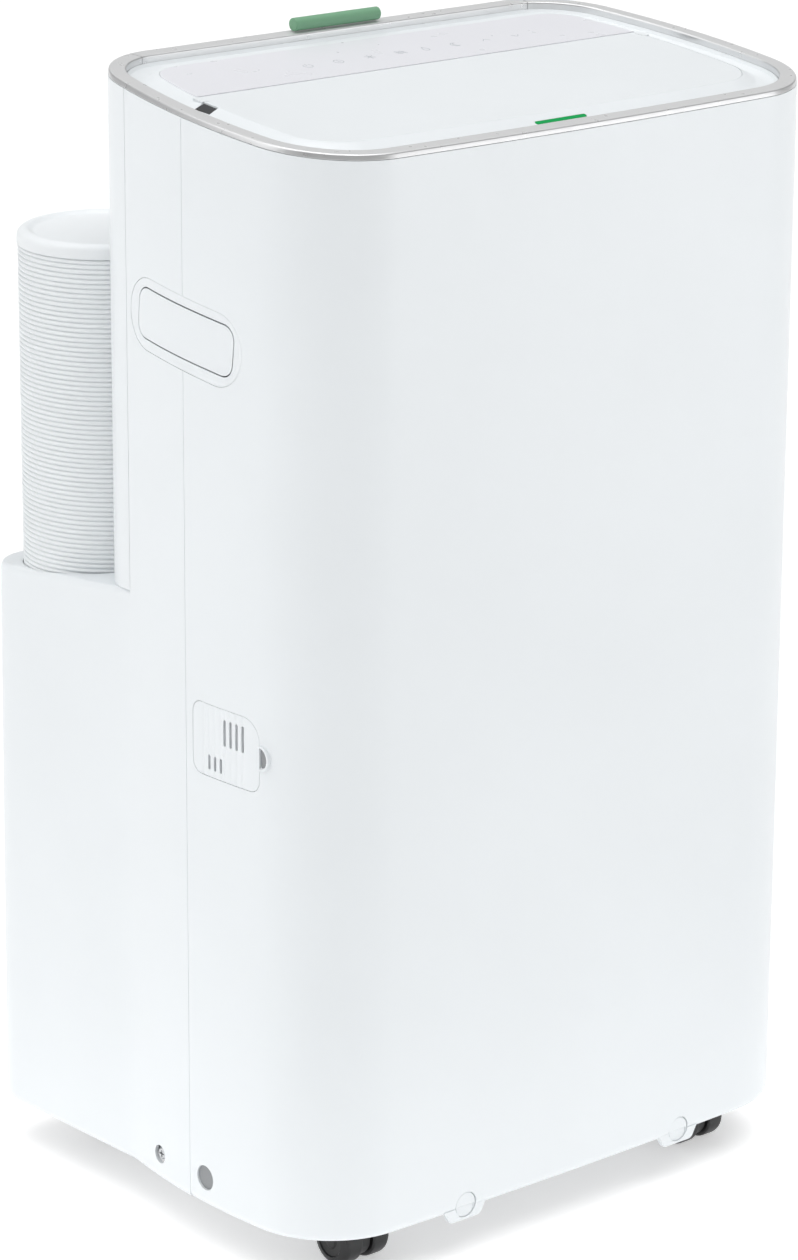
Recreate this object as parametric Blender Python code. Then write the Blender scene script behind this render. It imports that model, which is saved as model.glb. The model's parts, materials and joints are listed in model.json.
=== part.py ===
"""Portable air conditioner on casters, built as separate solids. Metres, +Z up.

The front faces -Y, the origin is on the floor at the centre of the footprint.
Each object is one closed solid; every moving one is placed on its joint's axis.
"""
import math

import bmesh
import bpy
from mathutils import Matrix, Vector

# Driving dimensions -------------------------------------------------------------------
BODY_W = 0.490                     # widest part of the body
FOOT_D = 0.4072                    # depth over the rear lower extension, at its foot
FRONT_Y = -FOOT_D / 2
TOP_Z = 0.8318                     # top plane above the upper body's centre line
TOP_SLOPE = 0.105                  # the top rises towards the rear
BODY_MID_Y = -0.0623
BODY_EDGE_Z = 0.038                # lower edge of the shells above the floor
WALL = 0.003
GAP = 0.0003                       # between pieces that touch
SEAM = 0.0005                      # between shell parts

# Plan of the upper body: arcs from the front centre round to the rear centre
BOW_ANGLE = 1.87
CORNER_R, CORNER_ANGLE = 0.0722, 84.6
SIDE_R, SIDE_ANGLE = 0.5278, 102.5
REAR_R = 0.0643
SHELL_SEAM_Y = -0.0579             # front shell meets rear shell
PANEL_SEAM_Y = 0.0170              # rear shell meets the upper rear panel
RIM_SPLIT_ANGLE = 166.2            # the rim's rear part lifts out with the filter

# Lower extension that carries the hose
EXT_BLEND_R, EXT_CORNER_R = 0.100, 0.038
FOOT_FLARE = 0.0024                # the extension widens towards the floor
LEDGE_Z, LEDGE_SLOPE = 0.4652, -0.100
HOSE_X, HOSE_Y, HOSE_R = -0.1662, 0.1292, 0.0645
CHANNEL_R, CHANNEL_WALL, CHANNEL_TOP_Z = 0.0680, 0.0025, 0.8260   # recess in the upper rear panel
HOSE_TOP_Z = 0.7118

# Top
RIM_W, RIM_H = 0.0128, 0.0039
PAD_INSET, PAD_DROP = 0.036, 0.0028
DIVIDER_Y = -0.0270
FLAP_AXIS_Y = DIVIDER_Y - 0.0056
FLAP_AXIS_DROP = PAD_DROP + 0.0015
DECK_INNER, DECK_DROP, DECK_BOTTOM = 0.045, 0.0062, 0.013
APRON_SHIFT, APRON_START_Y, APRON_RUN = 0.0050, -0.120, 0.035
APRON_DROP, APRON_SLOPE = 0.00647, 0.474
LED_HALF, LED_Y, LED_D = 0.0238, -0.1705, 0.0034

# Side handle and sensor cover
HANDLE_Y, HANDLE_Z, HANDLE_TILT = -0.0555, 0.6790, math.atan(0.105)
HANDLE_L, HANDLE_H = 0.132, 0.052
GRIP_L, GRIP_H = 0.109, 0.0355
COVER_Y, COVER_Z, COVER_W, COVER_H = -0.1015, 0.3930, 0.0705, 0.0525

# Casters
CASTERS = {"front_left": (-0.168, -0.137), "front_right": (0.168, -0.137),
           "rear_left": (-0.156, 0.142), "rear_right": (0.156, 0.142)}
CASTER_TRAIL, WHEEL_R, WHEEL_W, WHEEL_TRACK = 0.012, 0.019, 0.0165, 0.0265
PAN_Z, PAN_T = 0.052, 0.003

# Inside
BLOWER_X, BLOWER_Z, BLOWER_R = -0.012, 0.612, 0.098
FAN_X, FAN_Z, FAN_R = 0.075, 0.245, 0.092
COMPRESSOR_X, COMPRESSOR_Y = -0.105, -0.090


# Materials ----------------------------------------------------------------------------
def make_material(name, colour, roughness, metallic=0.0):
    mat = bpy.data.materials.new(name)
    mat.use_nodes = True
    shader = mat.node_tree.nodes["Principled BSDF"]
    shader.inputs["Base Color"].default_value = (*colour, 1.0)
    shader.inputs["Roughness"].default_value = roughness
    shader.inputs["Metallic"].default_value = metallic
    mat.diffuse_color = (*colour, 1.0)
    return mat


def start_scene():
    for obj in list(bpy.data.objects):
        bpy.data.objects.remove(obj, do_unlink=True)


start_scene()
WHITE = make_material("white_shell", (0.86, 0.88, 0.89), 0.42)
RIM = make_material("silver_rim", (0.66, 0.67, 0.68), 0.35, 0.3)
PANEL = make_material("control_surface", (0.80, 0.80, 0.83), 0.30)
GREEN = make_material("green_pull", (0.20, 0.42, 0.26), 0.50)
LIGHT = make_material("status_light", (0.01, 0.45, 0.14), 0.40)
HOSE = make_material("hose_plastic", (0.82, 0.83, 0.83), 0.50)
DARK = make_material("dark_plastic", (0.030, 0.030, 0.032), 0.50)
GREY = make_material("grey_plastic", (0.30, 0.31, 0.32), 0.55)
FILTER = make_material("filter_mesh", (0.16, 0.17, 0.18), 0.70)
STEEL = make_material("galvanised_steel", (0.60, 0.61, 0.62), 0.40, 0.9)
ALLOY = make_material("aluminium_fins", (0.75, 0.76, 0.77), 0.35, 1.0)
COPPER = make_material("copper_tube", (0.72, 0.38, 0.22), 0.30, 1.0)
BLACK = make_material("black_paint", (0.020, 0.020, 0.022), 0.35, 0.2)
RUBBER = make_material("rubber", (0.025, 0.025, 0.025), 0.85)
SCREW = make_material("screw_steel", (0.55, 0.56, 0.57), 0.35, 1.0)


# Levels -------------------------------------------------------------------------------
def top_z(y):
    return TOP_Z + TOP_SLOPE * (y - BODY_MID_Y)


def ledge_z(y):
    return LEDGE_Z + LEDGE_SLOPE * (y - HOSE_Y)


def level(z):
    return lambda y: z


def below_top(drop):
    return lambda y: top_z(y) - drop


def below_apron(drop):
    """Height under the sloping apron in front of the flap."""
    return lambda y: top_z(y) - APRON_DROP - APRON_SLOPE * (LED_Y - y) - drop


def with_apron(plan):
    """The plan with its front moved back, which leaves room for the apron."""
    return [(x, y + APRON_SHIFT * min(1.0, max(0.0, (APRON_START_Y - y) / APRON_RUN))) for x, y in plan]


# Plan outlines ------------------------------------------------------------------------
def plan_radius_of_bow():
    corner, side, bow = (math.sin(math.radians(a)) for a in (CORNER_ANGLE, 90, BOW_ANGLE))
    return (BODY_W / 2 - CORNER_R * (corner - bow) - SIDE_R * (side - corner)) / bow


def side_angle(y):
    """Heading of the side arc, in degrees, where it passes y."""
    bow, corner = math.radians(BOW_ANGLE), math.radians(CORNER_ANGLE)
    middle = FRONT_Y + plan_radius_of_bow() * (1 - math.cos(bow))
    middle += CORNER_R * (math.cos(bow) - math.cos(corner)) + SIDE_R * math.cos(corner)
    return 90 + math.degrees(math.asin((y - middle) / SIDE_R))


def half_plan(inset, lower=False, flare=0.0):
    """Right half of the plan from front centre to rear centre, and its marked points."""
    seam = [side_angle(SHELL_SEAM_Y - SEAM / 2), side_angle(SHELL_SEAM_Y + SEAM / 2)]
    panel = [side_angle(PANEL_SEAM_Y - SEAM / 2), side_angle(PANEL_SEAM_Y + SEAM / 2)]
    split = [RIM_SPLIT_ANGLE - 0.25, RIM_SPLIT_ANGLE + 0.25]
    stops = [(plan_radius_of_bow(), BOW_ANGLE, 2, None), (CORNER_R, CORNER_ANGLE, 7, None),
             (SIDE_R, seam[0], 2, "seam_front"), (SIDE_R, seam[1], 1, "seam_rear"),
             (SIDE_R, panel[0], 2, "panel_side"), (SIDE_R, panel[1], 1, "panel_rear")]
    if lower:
        stops += [(-EXT_BLEND_R, 90, 2, None), (None, 90, 1, None), (EXT_CORNER_R, 180, 5, None)]
    else:
        stops += [(SIDE_R, SIDE_ANGLE, 1, None), (REAR_R, split[0], 4, "rim_side"),
                  (REAR_R, split[1], 1, "rim_rear"), (REAR_R, 180, 1, None)]
    x, y, heading = 0.0, FRONT_Y + inset, 0.0
    points, marks = [(x, y)], {"front": 0}
    for radius, end, steps, mark in stops:
        if radius is None:
            y = -FRONT_Y - FOOT_FLARE - EXT_CORNER_R
            points.append((x, y))
            continue
        start_x, start_y = x, y
        for step in range(1, steps + 1):
            angle = math.radians(heading + (end - heading) * step / steps)
            first = math.radians(heading)
            x = start_x + (radius - inset) * (math.sin(angle) - math.sin(first))
            y = start_y + (radius - inset) * (math.cos(first) - math.cos(angle))
            points.append((x, y))
        heading = end
        if mark:
            marks[mark] = len(points) - 1
    points.append((0.0, y))
    if flare:
        points = [(px + flare * min(1, max(0, (py - PANEL_SEAM_Y) / 0.03)) * (px > 0.001),
                   py + flare * max(0, (py - PANEL_SEAM_Y) / (y - PANEL_SEAM_Y)))
                  for px, py in points]
    return points, marks


def mirrored(points):
    return [(-x, y) for x, y in reversed(points)]


def front_path(inset, mark):
    points, marks = half_plan(inset)
    half = points[:marks[mark] + 1]
    return mirrored(half[1:]) + half


def rear_path(inset, mark):
    points, marks = half_plan(inset)
    half = points[marks[mark]:]
    return half + mirrored(half[:-1])


def closed_plan(inset, lower=False, flare=0.0):
    points, _ = half_plan(inset, lower, flare)
    return points + mirrored(points[1:-1])


def clip_plan(points, keep, y_line):
    """Part of a closed plan on one side of a line of constant y (keep is -1 or +1)."""
    out = []
    for (x0, y0), (x1, y1) in zip(points, points[1:] + points[:1]):
        inside0, inside1 = keep * (y0 - y_line) >= 0, keep * (y1 - y_line) >= 0
        if inside0:
            out.append((x0, y0))
        if inside0 != inside1:
            t = (y_line - y0) / (y1 - y0)
            out.append((x0 + t * (x1 - x0), y_line))
    return out


# Mesh helpers -------------------------------------------------------------------------
def finish(name, bm, material, origin=(0, 0, 0), smooth_angle=30):
    """Turn a bmesh in world coordinates into an object whose origin is at origin."""
    bmesh.ops.recalc_face_normals(bm, faces=bm.faces)
    bmesh.ops.translate(bm, verts=bm.verts, vec=-Vector(origin))
    mesh = bpy.data.meshes.new(name)
    bm.to_mesh(mesh)
    bm.free()
    mesh.shade_smooth()
    mesh.set_sharp_from_angle(angle=math.radians(smooth_angle))
    mesh.materials.append(material)
    obj = bpy.data.objects.new(name, mesh)
    obj.location = origin
    bpy.context.collection.objects.link(obj)
    return obj


def add_grid(bm, rows, close_rows, close_columns):
    """Quads between rows of points; open ends get a cap."""
    verts = [[bm.verts.new(p) for p in row] for row in rows]
    count, width = len(verts), len(verts[0])
    for i in range(count if close_rows else count - 1):
        for j in range(width if close_columns else width - 1):
            a, b = verts[i], verts[(i + 1) % count]
            k = (j + 1) % width
            bm.faces.new((a[j], a[k], b[k], b[j]))
    if not close_columns:
        bm.faces.new([row[0] for row in verts])
        bm.faces.new([row[-1] for row in reversed(verts)])
    if not close_rows:
        bm.faces.new(list(reversed(verts[0])))
        bm.faces.new(verts[-1])


def add_band(bm, path, profile):
    """Wall swept along an open plan path; profile lists (inset, height rule)."""
    rows = [[(x, y, height(y)) for x, y in path(inset)] for inset, height in profile]
    add_grid(bm, rows, True, False)


def add_loft(bm, rings):
    """Solid through closed rings of equal length."""
    add_grid(bm, rings, False, True)


def ring_at(plan, height):
    return [(x, y, height(y)) for x, y in plan]


def add_prism(bm, plan, low, high):
    add_loft(bm, [ring_at(plan, low), ring_at(plan, high)])


def add_box(bm, low, high):
    corners = [(low[0], low[1]), (high[0], low[1]), (high[0], high[1]), (low[0], high[1])]
    add_prism(bm, corners, level(low[2]), level(high[2]))


def circle(radius, steps, start=0.0):
    turn = 2 * math.pi / steps
    return [(radius * math.cos(start + turn * k), radius * math.sin(start + turn * k))
            for k in range(steps)]


def axis_matrix(centre, axis):
    return Matrix.Translation(centre) @ Vector((0, 0, 1)).rotation_difference(
        Vector(axis)).to_matrix().to_4x4()


def add_turned(bm, profile, centre, axis=(0, 0, 1), steps=24):
    """Turned solid; profile lists (radius, height along the axis) with its ends capped."""
    place = axis_matrix(centre, axis)
    rings = [[place @ Vector((x, y, h)) for x, y in circle(r, steps)] for r, h in profile]
    add_loft(bm, rings)


def add_turned_ring(bm, profile, centre, axis=(0, 0, 1), steps=24):
    """Turned ring with a closed profile."""
    place = axis_matrix(centre, axis)
    rings = [[place @ Vector((x, y, h)) for x, y in circle(r, steps)] for r, h in profile]
    add_grid(bm, rings, True, True)


def rounded_rectangle(width, height, radius, steps=4):
    points = []
    for quarter, (sx, sy) in enumerate(((1, 1), (-1, 1), (-1, -1), (1, -1))):
        cx, cy = sx * (width / 2 - radius), sy * (height / 2 - radius)
        for k in range(steps + 1):
            angle = math.pi / 2 * (quarter + k / steps)
            points.append((cx + radius * math.cos(angle), cy + radius * math.sin(angle)))
    return points


def add_side_prism(bm, side, centre, outline, reach, tilt=0.0):
    """Prism along X through a side wall; outline is (along Y, along Z) about centre."""
    rings = []
    for x in reach:
        ring = []
        for u, v in outline:
            y = centre[0] + u * math.cos(tilt) - v * math.sin(tilt)
            z = centre[1] + u * math.sin(tilt) + v * math.cos(tilt)
            ring.append((side * x, y, z))
        rings.append(ring)
    add_loft(bm, rings)


def helper(name, build, boolean_target, operation):
    """Hidden cutter (or added solid) and the Boolean that uses it."""
    bm = bmesh.new()
    build(bm)
    tool = finish(name, bm, DARK)
    tool.hide_render = True
    tool.display_type = "WIRE"
    modifier = boolean_target.modifiers.new(name, "BOOLEAN")
    modifier.operation = operation
    modifier.solver = "EXACT"
    modifier.object = tool
    return tool


def cut(target, name, build):
    return helper(name, build, target, "DIFFERENCE")


def join(target, name, build):
    return helper(name, build, target, "UNION")


def keep(target, name, build):
    return helper(name, build, target, "INTERSECT")


def solid(name, material, build, origin=(0, 0, 0)):
    bm = bmesh.new()
    build(bm)
    return finish(name, bm, material, origin)


# Outer shells -------------------------------------------------------------------------
SHELL_TOP = below_top(RIM_H + GAP)
SHELL_FOOT = [(WALL, level(BODY_EDGE_Z + 0.008)), (0.0060, level(BODY_EDGE_Z + 0.0035)),
              (0.0060, level(BODY_EDGE_Z)), (0.0036, level(BODY_EDGE_Z)),
              (0.0010, level(BODY_EDGE_Z + 0.0024)), (0.0, level(BODY_EDGE_Z + 0.0065))]
HANDLE_OUTLINE = rounded_rectangle(HANDLE_L, HANDLE_H, 0.0255)
HANDLE_HOLE = rounded_rectangle(HANDLE_L + 2 * GAP, HANDLE_H + 2 * GAP, 0.0258)
COVER_HOLE = rounded_rectangle(COVER_W + 2 * SEAM, COVER_H + 2 * SEAM, 0.0095)
SIDE_X = BODY_W / 2
REAR_SCREW_Y, REAR_SCREW_Z, REAR_SCREW_R = -0.0178, 0.0570, 0.0070
SOCKET_Y, SOCKET_Z, SOCKET_R = -0.0760, 0.0592, 0.0094
NOTCH_R = 0.0080


def handle_cut(side):
    def build(bm):
        add_side_prism(bm, side, (HANDLE_Y, HANDLE_Z), HANDLE_HOLE, (0.20, 0.26), HANDLE_TILT)
    return build


CATCH_X, CATCH_Z, CATCH_R = 0.106, 0.0415, 0.0095
TAB_TOP_HALF, TAB_FOOT_HALF, TAB_FOOT_Z = 0.0200, 0.0145, 0.0300


def catch_tabs(bm):
    """Tabs hanging below the front edge, each holding a catch."""
    for side in (-1, 1):
        x = side * CATCH_X
        outline = [(x - TAB_FOOT_HALF, TAB_FOOT_Z), (x + TAB_FOOT_HALF, TAB_FOOT_Z),
                   (x + TAB_TOP_HALF, BODY_EDGE_Z + 0.002), (x - TAB_TOP_HALF, BODY_EDGE_Z + 0.002)]
        add_loft(bm, [[(px, y, pz) for px, pz in outline]
                      for y in (FRONT_Y + 0.0016, FRONT_Y + 0.0050)])


def catch_holes(bm):
    for side in (-1, 1):
        centre = (side * CATCH_X, FRONT_Y - 0.002, CATCH_Z)
        add_turned(bm, [(CATCH_R + GAP, 0.0), (CATCH_R + GAP, 0.02)], centre, (0, 1, 0), 20)


def lower_sockets(bm):
    """Blind round recesses low on the front shell's sides."""
    for side in (-1, 1):
        add_turned(bm, [(SOCKET_R, 0.0), (SOCKET_R, 0.01)],
                   (side * (SIDE_X - 0.0021), SOCKET_Y, SOCKET_Z), (side, 0, 0), 16)


def sensor_hole(bm):
    add_side_prism(bm, -1, (COVER_Y, COVER_Z), COVER_HOLE, (0.235, 0.25))
    centre = (COVER_Y - COVER_W / 2 - 0.0012, COVER_Z)
    add_side_prism(bm, -1, centre, circle(NOTCH_R, 14), (SIDE_X - 0.0022, 0.25))


front_shell = solid("front_shell", WHITE, lambda bm: add_band(
    bm, lambda inset: front_path(inset, "seam_front"),
    SHELL_FOOT + [(0.0, SHELL_TOP), (WALL, SHELL_TOP)]))
for side, label in ((-1, "left"), (1, "right")):
    cut(front_shell, f"front_handle_cut_{label}", handle_cut(side))
join(front_shell, "catch_tabs", catch_tabs)
cut(front_shell, "catch_holes", catch_holes)
cut(front_shell, "sensor_hole", sensor_hole)
cut(front_shell, "lower_sockets", lower_sockets)


def rear_outer(bm):
    """Lower extension closed at the ledge, with the two side strips drawn up to the rim."""
    start_y = SHELL_SEAM_Y + SEAM / 2
    rings = []
    for inset, z in ((0.0018, BODY_EDGE_Z), (0.0, BODY_EDGE_Z + 0.0040)):
        plan = clip_plan(closed_plan(inset, True, FOOT_FLARE), 1, start_y)
        rings.append(ring_at(plan, level(z)))
    plan = clip_plan(closed_plan(0.0, True), 1, start_y)
    rings.append(ring_at(plan, lambda y: ledge_z(y) - 0.004))
    plan = clip_plan(closed_plan(0.0022, True), 1, start_y)
    rings.append(ring_at(plan, ledge_z))
    add_loft(bm, rings)


def side_strips(bm):
    start_y, stop_y = SHELL_SEAM_Y + SEAM / 2, PANEL_SEAM_Y - SEAM / 2
    plan = clip_plan(clip_plan(closed_plan(0.0), 1, start_y), -1, stop_y)
    add_prism(bm, plan, level(BODY_EDGE_Z + 0.030), SHELL_TOP)


def lower_hollow(bm):
    plan = clip_plan(closed_plan(WALL, True, FOOT_FLARE), 1, SHELL_SEAM_Y - 0.01)
    upper = clip_plan(closed_plan(WALL, True), 1, SHELL_SEAM_Y - 0.01)
    add_loft(bm, [ring_at(plan, level(BODY_EDGE_Z - 0.01)), ring_at(plan, level(0.10)),
                  ring_at(upper, lambda y: ledge_z(y) - WALL)])


def upper_hollow(bm):
    plan = clip_plan(closed_plan(0.0062), 1, SHELL_SEAM_Y - 0.01)
    add_prism(bm, plan, level(0.43), level(0.90))


def hose_column(radius, low, high):
    """Round column about the hose's axis, between two height rules."""
    plan = [(HOSE_X + x, HOSE_Y + y) for x, y in circle(radius, 32)]
    return lambda bm: add_prism(bm, plan, low, high)


def strip_hollow(bm):
    plan = clip_plan(clip_plan(closed_plan(WALL), 1, SHELL_SEAM_Y - 0.01), -1, PANEL_SEAM_Y + 0.01)
    add_prism(bm, plan, lambda y: ledge_z(y) + 0.0004, level(0.90))


GRILLE_X, GRILLE_Z, GRILLE_W, GRILLE_H = 0.050, 0.250, 0.290, 0.300
DRAIN_X, DRAIN_Z, DRAIN_R, DRAIN_PLUG_Y = -0.165, 0.086, 0.0110, 0.2028
GLAND_X, GLAND_Z, GLAND_R = -0.165, 0.160, 0.011


def rear_openings(bm):
    low = (GRILLE_X - GRILLE_W / 2, 0.18, GRILLE_Z - GRILLE_H / 2)
    high = (GRILLE_X + GRILLE_W / 2, 0.22, GRILLE_Z + GRILLE_H / 2)
    add_box(bm, low, high)
    for x, z, r in ((DRAIN_X, DRAIN_Z, DRAIN_R), (GLAND_X, GLAND_Z, GLAND_R)):
        add_turned(bm, [(r, 0), (r, 0.05)], (x, 0.175, z), (0, 1, 0), 20)
    hose_column(HOSE_R + 0.0006, level(0.42), level(0.50))(bm)
    for side in (-1, 1):
        add_turned(bm, [(REAR_SCREW_R, 0), (REAR_SCREW_R, 0.04)],
                   (side * 0.225, REAR_SCREW_Y, REAR_SCREW_Z), (side, 0, 0), 16)


rear_shell = solid("rear_shell", WHITE, rear_outer)
join(rear_shell, "side_strips", side_strips)
cut(rear_shell, "lower_hollow", lower_hollow)
body_opening = cut(rear_shell, "upper_hollow", upper_hollow)
cut(body_opening, "channel_floor", hose_column(CHANNEL_R + CHANNEL_WALL, level(0.40), level(0.92)))
cut(rear_shell, "strip_hollow", strip_hollow)
for side, label in ((-1, "left"), (1, "right")):
    cut(rear_shell, f"rear_handle_cut_{label}", handle_cut(side))
cut(rear_shell, "rear_openings", rear_openings)

# Upper rear panel with its intake slots
SLOT_ROWS, SLOT_PITCH, SLOT_H, SLOT_LOW_Z = 11, 0.0285, 0.0160, 0.492
SLOT_COLUMNS = ((-0.1100, -0.0050), (0.0050, 0.1520))


def intake_slots(bm):
    for row in range(SLOT_ROWS):
        z = SLOT_LOW_Z + row * SLOT_PITCH
        for low_x, high_x in SLOT_COLUMNS:
            add_box(bm, (low_x, 0.06, z), (high_x, 0.09, z + SLOT_H))


rear_panel = solid("upper_rear_panel", WHITE, lambda bm: add_band(
    bm, lambda inset: rear_path(inset, "panel_rear"),
    [(0.0, lambda y: ledge_z(y) + GAP), (0.0, SHELL_TOP), (0.0025, SHELL_TOP),
     (0.0025, lambda y: ledge_z(y) + GAP)]))
channel = join(rear_panel, "hose_channel", hose_column(
    CHANNEL_R + CHANNEL_WALL, lambda y: ledge_z(y) + 2 * GAP, below_top(DECK_BOTTOM + GAP)))
keep(channel, "channel_extent", lambda bm: add_prism(bm, closed_plan(0.0012), level(0.42), level(0.90)))
cut(rear_panel, "hose_recess", hose_column(CHANNEL_R, level(0.42), level(CHANNEL_TOP_Z)))
cut(rear_panel, "intake_slots", intake_slots)

# Top: rim, deck, control panel, louvre flap -------------------------------------------
RIM_PROFILE = [(0.0, below_top(RIM_H)), (0.0, below_top(0.0014)), (0.0014, below_top(0.0)),
               (RIM_W - 0.0014, below_top(0.0)), (RIM_W, below_top(0.0014)),
               (RIM_W, below_top(0.0100)), (RIM_W - 0.0025, below_top(0.0100)),
               (RIM_W - 0.0025, below_top(RIM_H))]
solid("top_rim", RIM, lambda bm: add_band(bm, lambda inset: front_path(inset, "rim_side"), RIM_PROFILE))


def deck_body(bm):
    rim_side = closed_plan(RIM_W + GAP)
    inner = with_apron(closed_plan(DECK_INNER))
    rows = [ring_at(rim_side, below_top(0.0060)), ring_at(closed_plan(0.0165), below_top(0.0080)),
            ring_at(closed_plan(0.0215), below_top(0.0080))]
    for inset, drop in ((PAD_INSET - 0.0105, 0.0077), (PAD_INSET - 0.0008, 0.0031),
                        (PAD_INSET - 0.0008, DECK_DROP + 0.0006)):
        rows.append(ring_at(with_apron(closed_plan(inset)), below_top(drop)))
    rows += [ring_at(inner, below_top(DECK_DROP + 0.0006)), ring_at(inner, below_top(DECK_BOTTOM)),
             ring_at(rim_side, below_top(DECK_BOTTOM))]
    add_grid(bm, rows, True, True)


PIVOT_R, PIVOT_X0, PIVOT_X1 = 0.0010, 0.1990, 0.2080
BEARING_X0, BEARING_X1 = 0.2033, 0.2100
BEARING_Y0, BEARING_Y1 = -0.0378, -0.0273


def add_side_boxes(bm, x0, x1, low, high):
    """The same box at both sides; low and high are (y, z)."""
    for side in (-1, 1):
        low_x, high_x = sorted((side * x0, side * x1))
        add_box(bm, (low_x, *low), (high_x, *high))


def pivot_bearings(bm):
    for side in (-1, 1):
        low_x, high_x = sorted((side * BEARING_X0, side * BEARING_X1))
        plan = [(low_x, BEARING_Y0), (high_x, BEARING_Y0), (high_x, BEARING_Y1), (low_x, BEARING_Y1)]
        add_prism(bm, plan, below_top(0.0100), below_top(PAD_DROP + 0.0001))


def bearing_holes(bm):
    for side in (-1, 1):
        add_turned(bm, [(PIVOT_R + 0.0002, 0.0), (PIVOT_R + 0.0002, 0.0100)],
                   (side * PIVOT_X0, FLAP_AXIS_Y, top_z(FLAP_AXIS_Y) - FLAP_AXIS_DROP), (side, 0, 0), 12)


def side_notches(bm):
    add_side_boxes(bm, 0.2080, 0.2165, (-0.0540, 0.75), (BEARING_Y0, 0.90))


def flap_clearances(bm):
    add_side_boxes(bm, 0.1955, 0.2032, (-0.0400, 0.75), (-0.0266, 0.90))


def led_slot(bm):
    half_x, half_y = LED_HALF + GAP, LED_D / 2 + GAP
    plan = [(-half_x, LED_Y - half_y), (half_x, LED_Y - half_y), (half_x, LED_Y + half_y),
            (-half_x, LED_Y + half_y)]
    add_prism(bm, plan, below_apron(0.0035), level(0.90))


deck = solid("top_deck", WHITE, deck_body)
join(deck, "pivot_bearings", pivot_bearings)
cut(deck, "bearing_holes", bearing_holes)
cut(deck, "side_notches", side_notches)
cut(deck, "flap_clearances", flap_clearances)
cut(deck, "led_slot", led_slot)

solid("status_light_bar", LIGHT, lambda bm: add_prism(
    bm, [(-LED_HALF, LED_Y - LED_D / 2), (LED_HALF, LED_Y - LED_D / 2),
         (LED_HALF, LED_Y + LED_D / 2), (-LED_HALF, LED_Y + LED_D / 2)],
    below_apron(0.0030), below_apron(0.0001)))

PAD_BOTTOM = DECK_DROP + 0.0006 - GAP


def panel_body(bm):
    rings = []
    for inset, drop in ((PAD_INSET, PAD_BOTTOM), (PAD_INSET, PAD_DROP + 0.0006),
                        (PAD_INSET + 0.0006, PAD_DROP)):
        plan = clip_plan(with_apron(closed_plan(inset)), 1, DIVIDER_Y + SEAM / 2)
        rings.append(ring_at(plan, below_top(drop)))
    add_loft(bm, rings)


solid("control_panel", PANEL, panel_body)


def flap_body(bm):
    rings = []
    for inset, drop in ((PAD_INSET, PAD_BOTTOM), (PAD_INSET, PAD_DROP + 0.0006),
                        (PAD_INSET + 0.0006, PAD_DROP)):
        plan = clip_plan(with_apron(closed_plan(inset)), -1, DIVIDER_Y - SEAM / 2)
        rings.append(ring_at(plan, below_top(drop)))
    add_loft(bm, rings)


def flap_corner_cuts(bm):
    add_side_boxes(bm, 0.2030, 0.23, (BEARING_Y0 - GAP, 0.75), (DIVIDER_Y + 0.002, 0.90))


FLAP_AXIS = (0.0, FLAP_AXIS_Y, top_z(FLAP_AXIS_Y) - FLAP_AXIS_DROP)


def flap_pivots(bm):
    for side in (-1, 1):
        add_turned(bm, [(PIVOT_R, 0), (PIVOT_R, PIVOT_X1 - PIVOT_X0)],
                   (side * PIVOT_X0, FLAP_AXIS_Y, FLAP_AXIS[2]), (side, 0, 0), 12)


flap = solid("louvre_flap", WHITE, flap_body, FLAP_AXIS)
cut(flap, "flap_corner_cuts", flap_corner_cuts)
join(flap, "flap_pivots", flap_pivots)

# Air duct and its swinging vanes under the flap
DUCT_FRONT_Y, DUCT_REAR_Y, DUCT_HALF = -0.1560, -0.0420, 0.1880
DUCT_T = 0.0022
NECK_X0, NECK_X1, NECK_Z = 0.030, 0.160, 0.742
SCROLL_Y0, SCROLL_Y1 = -0.108, 0.018


def rectangle(x0, x1, y0, y1, shrink=0.0):
    return [(x0 + shrink, y0 + shrink), (x1 - shrink, y0 + shrink),
            (x1 - shrink, y1 - shrink), (x0 + shrink, y1 - shrink)]


def duct_solid(shrink, extra):
    def build(bm):
        neck = rectangle(NECK_X0, NECK_X1, SCROLL_Y0, SCROLL_Y1, shrink)
        mouth = rectangle(-DUCT_HALF, DUCT_HALF, DUCT_FRONT_Y, DUCT_REAR_Y, shrink)
        add_loft(bm, [ring_at(neck, level(NECK_Z + GAP - extra)), ring_at(neck, level(NECK_Z + 0.004)),
                      ring_at(mouth, below_top(0.048)),
                      ring_at(mouth, below_top(DECK_BOTTOM + GAP - extra))])
    return build


duct = solid("air_duct", WHITE, duct_solid(0.0, 0.0))
cut(duct, "duct_hollow", duct_solid(DUCT_T, 0.002))

VANES, VANE_PITCH, VANE_DROP, VANE_H = 5, 0.068, 0.0300, 0.026


def add_vane(index):
    x = (index - (VANES - 1) / 2) * VANE_PITCH
    mid_y = (DUCT_FRONT_Y + DUCT_REAR_Y) / 2
    centre = Vector((x, mid_y, top_z(mid_y) - VANE_DROP))
    length = DUCT_REAR_Y - DUCT_FRONT_Y - 2 * DUCT_T - 0.012

    def build(bm):
        half = VANE_H / 2
        outline = [(-half, -0.0006), (-0.002, -0.0020), (half, -0.0006), (half, 0.0006),
                   (-0.002, 0.0020), (-half, 0.0006)]
        rings = [[(centre.x + v, centre.y + y, centre.z + u) for u, v in outline]
                 for y in (-length / 2, length / 2)]
        add_loft(bm, rings)
    vane = solid(f"air_vane_{index + 1}", WHITE, build, centre)

    def pins(bm):
        reach = length / 2 + 0.0050
        add_turned(bm, [(0.0012, -reach), (0.0012, reach)], centre, (0, 1, 0), 8)
    join(vane, f"vane_pins_{index + 1}", pins)


for vane_index in range(VANES):
    add_vane(vane_index)

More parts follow.
